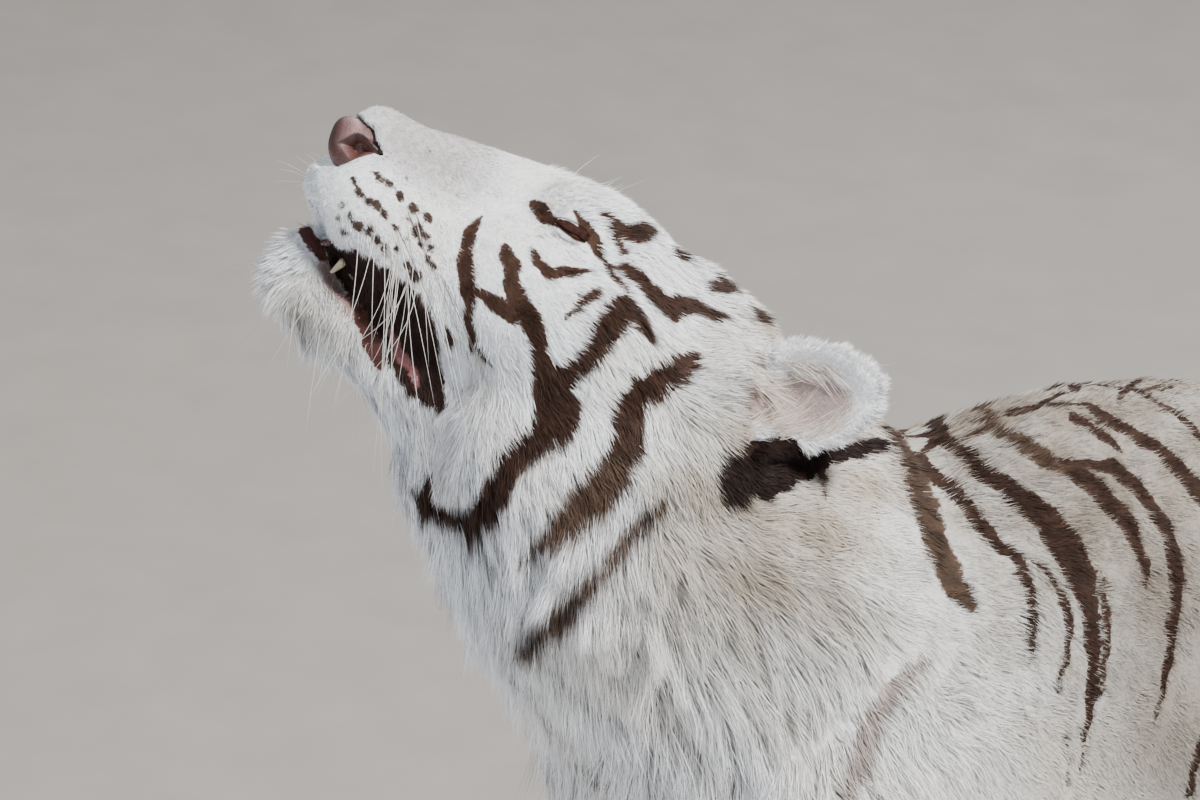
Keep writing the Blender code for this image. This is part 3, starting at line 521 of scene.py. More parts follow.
FLANK_STRIPES = {
    "shoulder 1": [(-15.6, 87, .27), (-15.1, 81, .37), (-14.4, 77, .44), (-13.8, 72, .44),
        (-13.2, 68, .41), (-12.5, 63, .34), (-11.8, 60, .31), (-11.5, 55, .31), (-11.4, 51, .31),
        (-11.5, 47, .31), (-11.7, 43, .24), (-12.2, 38, .14)],
    "shoulder 1 fork": [(-12.3, 63, .14), (-11.1, 59, .17), (-10.2, 56, .2), (-9.6, 53, .2),
        (-9.2, 49, .24), (-9.1, 45, .24), (-9.5, 40, .24), (-10.1, 35, .17), (-10.5, 32, .1)],
    "shoulder 2": [(-15.2, 93, .2), (-14, 92, .34), (-13.2, 88, .44), (-12.6, 83, .51), (-12, 79, .58),
        (-11.2, 75, .61), (-10.3, 71, .65), (-9.4, 68, .75), (-8.6, 63, .85), (-8.1, 58, .88),
        (-7.8, 54, .75), (-7.6, 49, .58), (-7.5, 44, .48), (-7.6, 38, .41), (-7.8, 32, .34),
        (-8.2, 26, .27), (-8.5, 21, .2), (-8.8, 15, .1)],
    "shoulder 2 side": [(-6.4, 54, .1), (-6.3, 50, .2), (-6.3, 46, .24), (-6.4, 42, .24),
        (-6.8, 36, .2), (-7.2, 31, .14)],
    "shoulder 3": [(-6.7, 76, .27), (-6, 73, .51), (-5.3, 70, .61), (-4.6, 66, .58), (-4, 63, .51),
        (-3.6, 59, .41), (-3.3, 56, .34), (-3.2, 53, .27), (-3.3, 50, .14)],
    "shoulder 4": [(-5.7, 75, .24), (-4.6, 74, .41), (-3.5, 73, .44), (-2.6, 70, .44), (-1.8, 66, .44),
        (-1.3, 61, .48), (-1, 57, .48), (-.9, 52, .48), (-1.1, 48, .41), (-1.5, 43, .34),
        (-1.9, 38, .31), (-2.3, 33, .24), (-2.6, 28, .17), (-3, 23, .1)],
    "withers 1": [(-4.8, 84, .27), (-4, 82, .37), (-3.3, 79, .34), (-2.7, 76, .17)],
    "withers 2": [(-3.7, 87, .24), (-2.7, 83, .37), (-1.7, 80, .41), (-.7, 77, .41), (.3, 74, .44),
        (1.2, 70, .48), (2.2, 66, .48), (3, 60, .45), (3.6, 52, .4), (3.8, 42, .3), (3.7, 32, .15)],
    "withers 3": [(-1.8, 95, .14), (-.5, 91, .2), (.9, 88, .24), (1.7, 84, .27), (2.4, 81, .27),
        (3.4, 77, .3), (4.2, 72, .3), (4.8, 66, .15)],
    "ridge 2": [(-9.2, 90, .17), (-7.4, 91, .27), (-5.8, 89, .31), (-4.3, 87, .24)],
    "ridge 3": [(.1, 90, .14), (1.5, 90, .14), (3.2, 89, .14)],
    "belly": [(.3, 22, .12), (-.1, 14, .27), (-.4, 9, .24), (-.7, 4, .17)],
    "elbow": [(-9.8, 24, .14), (-9.8, 18, .14), (-9.8, 13, .14)],
}
FLANK_FAINT = {
    "chest shade": [(-18.8, 42, .34), (-20.5, 39, .51), (-22, 35, .68), (-23.3, 29, .75),
        (-24.3, 22, .68), (-25.3, 17, .51)],
}
FLANK_BROWN = {
    "neck bar": [(-16.4, 91, .68), (-16.6, 80, .95), (-16.7, 72, 1.02), (-16.6, 66, .95),
        (-16.3, 61, .88), (-16, 55, .82), (-15.3, 51, .44)],
    "ridge 1": [(-11.5, 93, .3), (-10.5, 91, .37), (-9.7, 85, .51), (-8.6, 81, .58), (-7.6, 77, .58),
        (-6.7, 74, .41)],
    "ruff end": [(-40.1, 34, .5), (-39, 31, .5), (-37.5, 30, .25)],
}

# From behind the shoulder to the rump the stripes run down the flank by a rule: each a wavering line
# from the ridge, every third one long, with a loop or a short bar beside it.
chance = np.random.default_rng(11)
FIRST_ON_FLANK, LAST_ON_FLANK, APART = 7.5, 84, 5.4
for n, behind in enumerate(np.arange(FIRST_ON_FLANK, LAST_ON_FLANK, APART)):
    top = chance.uniform(88, 99)
    low = chance.uniform(25, 45) if n % 3 == 0 or behind > 58 else chance.uniform(-40, 5)
    lean, half, phase = chance.uniform(2, 8), chance.uniform(.55, .85), chance.uniform(0, 6)
    row = [(behind + lean * s ** 1.5 + .9 * sin(7 * s + phase), top + (low - top) * s,
            half * (.30 + 2.4 * s * (1 - s))) for s in np.linspace(0, 1, 13)]
    FLANK_STRIPES["flank %d" % n] = row
    if n % 3 != 1:
        start, size = chance.integers(1, 4), chance.integers(5, 8)
        closes = size - (1 if n % 2 else 2.2)
        FLANK_STRIPES["flank loop %d" % n] = [(at + 2.3 * sin(pi * k / closes), angle, .6 * half)
                                              for k, (at, angle, _) in enumerate(row[start:start + size])]
    else:
        FLANK_STRIPES["flank short %d" % n] = [(at + 2.7, angle, .42 * (1 - .1 * k))
                                               for k, (at, angle, _) in enumerate(row[6:11])]


def across(vectors, normals):
    """The part of each vector that lies in the surface."""
    return unit(vectors - normals * np.sum(vectors * normals, axis=-1, keepdims=True))


def wander(points, size, seed):
    """Smooth noise from -1 to 1 that changes over the given distance."""
    made = np.random.default_rng(seed)
    total = np.zeros(len(points))
    for _ in range(7):
        way = unit(made.normal(size=3)) * made.uniform(0.7, 1.6) * 2 * pi / size
        total += np.sin(points @ way + made.uniform(0, 2 * pi))
    return np.clip(total / 3.2, -1, 1)


BETWEEN_POINTS = 0.0022
stripe_at, stripe_half, stripe_kind = [], [], []


def lay(spots, halves, kind):
    """Lays one marking on the skin as a smooth run of points, with half its width and its kind."""
    spots, halves = np.array(spots), np.array(halves, float)
    steps = np.concatenate([[0], np.cumsum(np.linalg.norm(np.diff(spots, axis=0), axis=1))])
    tangent = np.gradient(spots, steps, axis=0) if len(spots) > 2 else None
    for t in np.linspace(0, steps[-1], max(2, int(steps[-1] / BETWEEN_POINTS))):
        i = min(max(np.searchsorted(steps, t) - 1, 0), len(steps) - 2)
        span = max(steps[i + 1] - steps[i], 1e-6)
        f = (t - steps[i]) / span
        spot = spots[i] * (1 - f) + spots[i + 1] * f
        if tangent is not None:
            leave, arrive = f ** 3 - 2 * f ** 2 + f, f ** 3 - f ** 2
            g = 2 * f ** 3 - 3 * f ** 2 + 1
            bend = span * (leave * tangent[i] + arrive * tangent[i + 1])
            spot = g * spots[i] + (1 - g) * spots[i + 1] + bend
        stripe_at.append(spot)
        stripe_half.append((halves[i] * (1 - f) + halves[i + 1] * f) / 100)
        stripe_kind.append(kind)


def on_skin(start, way):
    """Where a line from outside, or from the middle of a limb, meets the skin."""
    hit, _, _, _ = skin_tree.ray_cast(Vector(start), Vector(way))
    return hit


def head_line(rows, side, kind, sway=0.0, breadth=1.0):
    """A marking of the head, thrown on the skin from the side, with a little sway of its points."""
    spots = []
    for back, up, _ in rows:
        start = from_head((side * 30, back + chance.normal(0, sway), up + chance.normal(0, sway)))
        hit = on_skin(start, HEAD_TURN[:, 0] * -side)
        if hit is None:
            hit = skin_tree.find_nearest(Vector(from_head((side * 2.5, back, up))))[0]
        spots.append(np.array(hit))
    breadth *= 1.2 if kind in (DARK, BROWN, MOUTH_AND_SHADOW) else 1
    lay(spots, [half * breadth for _, _, half in rows], kind)


AXIS_HEIGHT = 72


def flank_line(rows, side, kind, sway=0.0):
    """A marking of the trunk, thrown on the skin from the trunk's axis."""
    spots, halves = [], []
    for behind, angle, half in rows:
        start = from_body((0, behind + chance.normal(0, sway), AXIS_HEIGHT))
        hit = on_skin(start, (side * cos(radians(angle)), 0, sin(radians(angle))))
        if hit is not None:
            spots.append(np.array(hit))
            halves.append(half * (1.34 if kind == DARK else 1.15))
    if len(spots) > 1:
        lay(spots, halves, kind)


def ring(centre, way, front, first, last, half, kind, lean=0.0):
    """A bar round a leg or the tail: its angles run from the front, round the given way."""
    way = unit(np.array(way, float))
    front = unit(across(np.array(front, float), way))
    beside = np.cross(way, front)
    spots, halves = [], []
    for s in np.linspace(0, 1, 9):
        angle = radians(first + (last - first) * s)
        start = centre + way * lean * (s - .5) + way * chance.normal(0, .0015)
        hit = on_skin(start, front * cos(angle) + beside * sin(angle))
        if hit is not None and (hit - Vector(start)).length < 0.22:
            spots.append(np.array(hit))
            halves.append(half * (.35 + 3.2 * s * (1 - s)))
    if len(spots) > 1:
        lay(spots, halves, kind)


# The left side gets every marking as its rows say, and the right side the same ones a little changed.
DARK, BROWN, GREY, PINK, SPOT, RED, PALE, MOUTH_AND_SHADOW = range(8)
BARE = (PINK, RED, PALE)
for kind, lines in ((DARK, HEAD_STRIPES), (MOUTH_AND_SHADOW, HEAD_DARK_AND_SHADOW), (BROWN, HEAD_BROWN), (GREY, HEAD_GREY),
                    (PINK, HEAD_PINK), (RED, HEAD_RED), (PALE, HEAD_PALE)):
    for rows in lines.values():
        head_line(rows, 1, kind)
        head_line(rows, -1, kind, 0.12 if rows[-1][0] > 15 else 0.05, chance.uniform(.85, 1.1))
for kind, lines in ((DARK, FLANK_STRIPES), (BROWN, FLANK_BROWN), (GREY, FLANK_FAINT)):
    for rows in lines.values():
        flank_line(rows, 1, kind)
        flank_line(rows, -1, kind, 0.35)
for back, up, half in WHISKER_ROOTS:
    for side in (1, -1):
        head_line([(back - .06, up + .04, half * 1.35), (back + .06, up - .04, half * 1.25)], side, SPOT)
for rows in HEAD_CROWN:
    for side in (1, -1):
        spots = [from_head((side * left, back, up)) for left, back, up, _ in rows]
        spots = [np.array(skin_tree.find_nearest(Vector(spot))[0]) for spot in spots]
        lay(spots, [row[3] for row in rows], DARK)


def middle_of(centre, way, reach):
    """The middle of the leg or tail near a place, taken from the skin round it."""
    rel = skin_points - centre
    way = unit(np.array(way, float))
    round_it = (np.linalg.norm(rel, axis=1) < reach) & (np.abs(rel @ way) < .015)
    return skin_points[round_it].mean(axis=0) if round_it.any() else centre


# Bars on the legs: how many on each region, dark on the inner side of the forearm and brown in front.
LEG_BARS = (("forearm_", 4, DARK), ("forearm_", 3, BROWN), ("shank_", 6, DARK), ("hind_cannon_", 3, DARK),
            ("thigh_", 7, DARK))
for word, side in SIDES.items():
    for node, count, kind in LEG_BARS:
        low, high = (np.array(corner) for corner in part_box(node + word))
        centre = (low + high) / 2
        for n in range(count):
            at = np.array((centre[0], centre[1], low[2] + (high[2] - low[2]) * (n + .6) / count))
            at = middle_of(at, (0, 0, 1), .13)
            inward = node == "forearm_" and kind == DARK
            first = chance.uniform(-150, -110) if inward else chance.uniform(-30, 20)
            ring(at, (0, 0, side), (side, 0, 0), first, first + chance.uniform(70, 130),
                 chance.uniform(.5, .85), kind, chance.uniform(-.04, .04))

# Rings round the tail, every second one broader.
TAIL_RINGS = 15
tail_line = [from_body(p) for p in tail_marks]
for n, s in enumerate(np.linspace(0.06, 0.97, TAIL_RINGS)):
    run = s * 3
    i = min(int(run), 2)
    centre = tail_line[i] * (1 - run + i) + tail_line[i + 1] * (run - i)
    centre = middle_of(centre, tail_line[i + 1] - tail_line[i], .09)
    ring(centre, tail_line[i + 1] - tail_line[i], (0, 1, 1), -165, 165, .75 + .35 * (n % 2), DARK, .01)

# The points of the markings go into three search trees by width, so that a fine line beside a broad
# one never hides it.
stripe_at, stripe_half, stripe_kind = np.array(stripe_at), np.array(stripe_half), np.array(stripe_kind)
stripe_trees = []
for least, most in ((0, .0028), (.0028, .0060), (.0060, 1)):
    own = np.where((stripe_half >= least) & (stripe_half < most))[0]
    tree = KDTree(len(own))
    for i in own:
        tree.insert(stripe_at[i], int(i))
    tree.balance()
    stripe_trees.append(tree)

# Colour of each kind of marking, in linear light, and how soft its edge is, in the order of the kinds.
# The last kind is the dark skin round the mouth, and under each ear a dark patch that is partly painted
# shadow.
STRIPE_TINTS = np.array(((.042, .021, .014), (.078, .048, .033), (.15, .125, .115), (.20, .085, .085),
                         (.045, .028, .022), (.075, .030, .026), (.42, .31, .29), (.022, .010, .008)))
STRIPE_SOFT = np.array((1, 2.4, 2.0, .8, 1.3, 1.2, 2.2, 1.3))


def stripe_reach(points):
    """How far inside a marking each point lies (metres, negative outside) and the marking's kind."""
    moved = points + 0.0016 * np.stack([wander(points, 0.020, s) for s in (1, 2, 3)], axis=1)
    best = np.full(len(points), -1.0)
    kind = np.zeros(len(points), int)
    for n, point in enumerate(moved):
        for _, i, gap in [found for tree in stripe_trees for found in tree.find_n(point, 3)]:
            inside = stripe_half[i] - gap
            bare = stripe_kind[i] in BARE and inside > 0
            held = kind[n] in BARE and best[n] > 0
            if (inside > best[n] and not held) or (bare and not kind[n] in BARE):
                best[n], kind[n] = inside, stripe_kind[i]
    return best, kind


# The skin is cut finer along the edges of the markings, on its own surface, so that they stay sharp:
# finest on the left of the head, the shoulder and the chest.
bm = bmesh.new()
bm.from_mesh(skin.data)
for longest in (.030, .015, .0085, .0055):
    bm.edges.ensure_lookup_table()
    ends = np.array([(e.verts[0].co[:], e.verts[1].co[:]) for e in bm.edges])
    span = np.linalg.norm(ends[:, 0] - ends[:, 1], axis=1)
    mid = to_body(ends.mean(axis=1))
    finest = (mid[:, 0] > -4) & (mid[:, 1] < 26)
    long = np.where(span > longest * np.where(finest, 1, 1.5))[0]
    inside, _ = stripe_reach(ends[long].mean(axis=1))
    edge = (inside > -.5 * span[long] - .003) & (inside < .5 * span[long] + .002)
    bmesh.ops.subdivide_edges(bm, edges=[bm.edges[int(i)] for i in long[edge]], cuts=1)
    bmesh.ops.triangulate(bm, faces=[f for f in bm.faces if len(f.verts) > 3])
bm.to_mesh(skin.data)
bm.free()
skin.data.shade_smooth()
skin_points = np.array([v.co for v in skin.data.vertices])
skin_normals = np.array([v.normal for v in skin.data.vertices])
skin_faces = np.array([p.vertices for p in skin.data.polygons])

# The dark skin round the open mouth, between an upper and a lower edge: centimetres back and up.
MOUTH_FRONT, MOUTH_CORNER = 2.6, 15.6
MOUTH_TOP = ((MOUTH_FRONT, 3.1, 4.6, 7.4, 9.6, 12, 14, MOUTH_CORNER),
             (-5.9, -5.5, -4.5, -4.3, -4.3, -5.7, -7.6, -9.6))
MOUTH_FOOT = ((MOUTH_FRONT, 3.6, 5.9, 8.2, 11, 13.4, MOUTH_CORNER),
              (-5.9, -6.2, -7.2, -8.3, -9.5, -10.5, -10.2))


def mouth_reach(points):
    """How far inside the dark skin round the mouth each point lies, in metres."""
    left, back, up = to_head(points).T
    inside = np.minimum(np.interp(back, *MOUTH_TOP) - up, up - np.interp(back, *MOUTH_FOOT)) * .8
    inside = np.minimum(inside, np.minimum(back - MOUTH_FRONT, MOUTH_CORNER - back))
    return np.where(np.abs(left) > 1, inside, -1) / 100


def about(points, middle, outer, inner, scale=(1, 1, 1)):
    """From 0 at the outer distance to 1 at the inner one round a place on the head, in centimetres."""
    return ramp(-np.linalg.norm((to_head(points) - middle) * scale, axis=1), -outer, -inner)


# The ground colours, in linear light: cold white on the face, warmer on the body, cream on the neck,
# the shoulder and the corner of the mouth, and grey-pink skin showing in the ears and on the muzzle.
COLD_WHITE, WARM_WHITE, CREAM = (np.array(c) for c in ((.88, .90, .93), (.84, .83, .80), (.47, .415, .35)))
EAR_WHITE, EAR_PINK = np.array((.92, .93, .95)), np.array((.33, .24, .21))
MUZZLE_GREY = np.array((.44, .41, .41))
NECK_DARKENING, REAR_SHADE = np.array((.20, .23, .27)), np.array((.40, .42, .445))


def coat_parts(points):
    """Ground colour, colour of the marking, how far inside it and its kind, at each point."""
    inside, kind = stripe_reach(points)
    mouth = mouth_reach(points + .0016 * np.stack([wander(points, .012, s) for s in (4, 5, 6)], axis=1))
    deeper = (mouth > inside) & ~(np.isin(kind, BARE) & (inside > 0))
    inside, kind = np.where(deeper, mouth, inside), np.where(deeper, MOUTH_AND_SHADOW, kind)
    back, up = to_head(points)[:, 1:].T
    _, y, z = to_body(points).T
    on_head = ramp(-back, -34, -28)
    warm = np.clip(.55 + .5 * wander(points, 0.11, 21) - on_head * .5, 0, 1)[:, None]
    colour = COLD_WHITE * (1 - warm) + WARM_WHITE * warm
    cream = ramp(-np.abs(back - 37), -14, -4) * ramp(up, -18, -5) * .9 * ramp(-back, -60, -50)
    cream = cream + ramp(y, -24, -6) * (.30 + .45 * ramp(z, 68, 92))
    cream += about(points, (3.5, 6, -9), 4.5, 2) * .45
    cream += about(points, (7.5, 17, -7), 3.5, 1) * .35
    cream = np.clip(cream * (.8 + .4 * wander(points, 0.05, 31)), 0, 1)[:, None]
    colour = colour * (1 - cream) + CREAM * cream
    # The left side of the neck, below and behind the ear, is darker and warmer.
    colour = colour * (1 - about(points, (9, 35.5, -4.5), 10, 3, (.6, 1, 1))[:, None] * NECK_DARKENING)
    # Painted shade and a greyer coat together: from the shoulder back the body is darker, more so up the
    # flank and along the top of the back, and less toward the hips.
    rear = .65 * ramp(y, -20, -3) + .85 * ramp(y, -12, 2)
    rear = rear * (.55 + .45 * ramp(z, 55, 82)) * (.45 + .55 * ramp(-y, -45, -14))
    rear = np.minimum(rear + .60 * ramp(z, 80, 92) * ramp(y, -22, -12) * ramp(-y, -12, 0), 1.25)[:, None]
    colour = colour * (1 - rear * REAR_SHADE)
    colour[on_ear(points)] = EAR_WHITE
    for word in SIDES:
        up_ear, sideways, out = ear_place(points, word)
        hollow = ramp(-(((up_ear - 3.7) / 4.0) ** 2 + ((sideways - .45) / 2.0) ** 2), -1.15, -.65)
        hollow = (hollow * (np.abs(out) < 2.3) * (up_ear > .2))[:, None] * .9
        colour = colour * (1 - hollow) + EAR_PINK * hollow
    muzzle = about(points, (0, 5.5, 3.4), 5.6, 2.2, (.8, .75, 1))[:, None]
    muzzle = muzzle * (.85 + .15 * wander(points, .007, 33)[:, None])
    colour = colour * (1 - muzzle) + MUZZLE_GREY * muzzle

    # A marking is lighter at its edge, and behind the cheek its kind says how much it is lightened: a little
    # for the dark and brown ones, partly a lighter tone and partly painted sheen, fully for the grey ones,
    # which fade to faint marks, and not at all for bare skin and the mouth.
    edge = ramp(inside, 0, 0.006)[:, None]
    sheen_and_fading = (.05 * ramp(back, 20, 28))[:, None]
    sheen_and_fading[np.isin(kind, BARE) | (kind == MOUTH_AND_SHADOW)] = 0
    sheen_and_fading[kind == GREY] *= 20
    tint = STRIPE_TINTS[kind]
    tint = tint * (1.25 - .35 * edge) * (1 - sheen_and_fading) + (tint * 2.5 + .04) * sheen_and_fading
    darker = np.where(kind == GREY, 1, 1 - .32 * ramp(back, 24, 34))[:, None]
    tint = tint * (1 + .22 * wander(points, 0.018, 41)[:, None]) * darker
    return colour, tint, inside, kind


def coat_colour(points, soft=0.0012):
    """The colour of the coat at each point, markings and all."""
    colour, tint, inside, kind = coat_parts(points)
    edge = soft * STRIPE_SOFT[kind]
    mask = ramp(inside, -edge, edge)[:, None]
    return colour * (1 - mask) + tint * mask


# ---- Colour of the skin ----------------------------------------------------------------------
# Thin skin, pink where it is bare and marked like the coat elsewhere, matt. Its colours are stored at
# the points of the mesh and broken up by fine grain, with the edge of each marking frayed.
def paint(obj, name, colours):
    """Stores a colour for every point of a mesh."""
    layer = obj.data.attributes.new(name, "FLOAT_COLOR", "POINT")
    filled = np.ones((len(colours), 4), np.float32)
    filled[:, :colours.shape[1]] = colours
    layer.data.foreach_set("color", filled.ravel())


def grain_group():
    """Colour and bump of fine grain, shared by every finish of the animal."""
    group = bpy.data.node_groups.new("fine grain", "ShaderNodeTree")
    for name, kind, value in (("Colour", "NodeSocketColor", None), ("Scale", "NodeSocketFloat", 300),
                              ("Contrast", "NodeSocketFloat", .2), ("Bump", "NodeSocketFloat", .3)):
        socket = group.interface.new_socket(name=name, in_out="INPUT", socket_type=kind)
        if value is not None:
            socket.default_value = value
    group.interface.new_socket(name="Colour", in_out="OUTPUT", socket_type="NodeSocketColor")
    group.interface.new_socket(name="Normal", in_out="OUTPUT", socket_type="NodeSocketVector")
    nodes, links = group.nodes, group.links
    inlet, outlet = nodes.new("NodeGroupInput"), nodes.new("NodeGroupOutput")
    where = nodes.new("ShaderNodeTexCoord")
    noise = nodes.new("ShaderNodeTexNoise")
    noise.inputs["Detail"].default_value = 3
    links.new(where.outputs["Object"], noise.inputs["Vector"])
    links.new(inlet.outputs["Scale"], noise.inputs["Scale"])
    spread = nodes.new("ShaderNodeMapRange")
    spread.inputs["From Min"].default_value = .3
    spread.inputs["From Max"].default_value = .7
    links.new(noise.outputs["Fac"], spread.inputs["Value"])
    for sum_of, limit in (("SUBTRACT", "To Min"), ("ADD", "To Max")):
        about_one = nodes.new("ShaderNodeMath")
        about_one.operation = sum_of
        about_one.inputs[0].default_value = 1
        links.new(inlet.outputs["Contrast"], about_one.inputs[1])
        links.new(about_one.outputs[0], spread.inputs[limit])
    shade = nodes.new("ShaderNodeVectorMath")
    shade.operation = "SCALE"
    links.new(inlet.outputs["Colour"], shade.inputs[0])
    links.new(spread.outputs[0], shade.inputs["Scale"])
    links.new(shade.outputs[0], outlet.inputs["Colour"])
    bump = nodes.new("ShaderNodeBump")
    bump.inputs["Distance"].default_value = .001
    links.new(inlet.outputs["Bump"], bump.inputs["Strength"])
    links.new(noise.outputs["Fac"], bump.inputs["Height"])
    links.new(bump.outputs[0], outlet.inputs["Normal"])
    return group


grain = grain_group()


def finish(made_look, rough, scale, contrast, bump, colour=None, gloss=.5, coat=0.0, marked=False):
    """Fills a material: the colour at the points, or one colour, goes through the grain.

    A marked one lays its markings over, with the edge of each frayed hair by hair.
    """
    made_look.use_nodes = True
    nodes, links = made_look.node_tree.nodes, made_look.node_tree.links
    shader = nodes["Principled BSDF"]
    shader.inputs["Roughness"].default_value = rough
    shader.inputs["Specular IOR Level"].default_value = gloss
    shader.inputs["Coat Weight"].default_value = coat
    shader.inputs["Coat Roughness"].default_value = .12
    fine = nodes.new("ShaderNodeGroup")
    fine.node_tree = grain
    fine.inputs["Scale"].default_value = scale
    fine.inputs["Contrast"].default_value = contrast
    fine.inputs["Bump"].default_value = bump
    if colour is None:
        tint = nodes.new("ShaderNodeAttribute")
        tint.attribute_name = "coat"
        links.new(tint.outputs["Color"], fine.inputs["Colour"])
    else:
        fine.inputs["Colour"].default_value = (*colour, 1)
    if marked:
        over, inside = nodes.new("ShaderNodeAttribute"), nodes.new("ShaderNodeAttribute")
        over.attribute_name, inside.attribute_name = "tint", "mark"
        where, fray = nodes.new("ShaderNodeTexCoord"), nodes.new("ShaderNodeTexNoise")
        fray.inputs["Scale"].default_value = 380
        links.new(where.outputs["Object"], fray.inputs["Vector"])
        spread = nodes.new("ShaderNodeMath")
        spread.operation = "MULTIPLY_ADD"
        spread.inputs[1].default_value = .16
        links.new(fray.outputs["Fac"], spread.inputs[0])
        links.new(inside.outputs["Fac"], spread.inputs[2])
        edge = nodes.new("ShaderNodeMapRange")
        edge.interpolation_type = "SMOOTHSTEP"
        edge.inputs["From Min"].default_value = .545
        edge.inputs["From Max"].default_value = .615
        links.new(spread.outputs[0], edge.inputs["Value"])
        mixed = nodes.new("ShaderNodeMix")
        mixed.data_type = "RGBA"
        ground_in, marking_in, mixed_out = mixed.inputs[6], mixed.inputs[7], mixed.outputs[2]
        links.new(edge.outputs[0], mixed.inputs["Factor"])
        links.new(tint.outputs["Color"], ground_in)
        links.new(over.outputs["Color"], marking_in)
        links.new(mixed_out, fine.inputs["Colour"])
    links.new(fine.outputs["Colour"], shader.inputs["Base Color"])
    links.new(fine.outputs["Normal"], shader.inputs["Normal"])
    return made_look


finish(skin_look, .75, 420, .16, .8, gloss=.12, marked=True)

# The skin is a little darker than the hair on it. Its third colour says how far inside a marking a
# point lies, from 0 through .5 at the edge to 1.
MARK_SPAN = .02
skin_colour, skin_tint, skin_inside, skin_kind = coat_parts(skin_points)
skin_mark = np.clip(skin_inside / STRIPE_SOFT[skin_kind] / MARK_SPAN + .5, 0, 1)
paint(skin, "coat", skin_colour * .82)
paint(skin, "tint", skin_tint * .9)
paint(skin, "mark", np.repeat(skin_mark[:, None], 3, axis=1))

# ---- Eyes ------------------------------------------------------------------------------------
# Amber eyes almost closed by heavy lids. Each ball is turned to look along the slit, with a black
# pupil and a glossy wet front; both lids are one shell of skin laid over it, with dark rims and fur.
# The broad dark band on each upper lid is partly dark skin and partly painted shade under the brow.
def grid_faces(rows, columns, closed=False):
    """Faces of a tube of points, row by row, with its two ends closed where that is asked for."""
    faces = []
    for i in range(rows - 1):
        for j in range(columns):
            k = (j + 1) % columns
            faces.append((i * columns + j, i * columns + k, (i + 1) * columns + k, (i + 1) * columns + j))
    if closed:
        faces += [tuple(range(columns))[::-1], tuple(range((rows - 1) * columns, rows * columns))]
    return faces


def face_out(obj, centre):
    """Turns a shell's faces away from a centre."""
    bm = bmesh.new()
    bm.from_mesh(obj.data)
    bm.normal_update()
    if sum((f.calc_center_median() - Vector(centre)).dot(f.normal) for f in bm.faces) < 0:
        bmesh.ops.reverse_faces(bm, faces=bm.faces)
    bm.to_mesh(obj.data)
    bm.free()
    obj.data.shade_smooth()


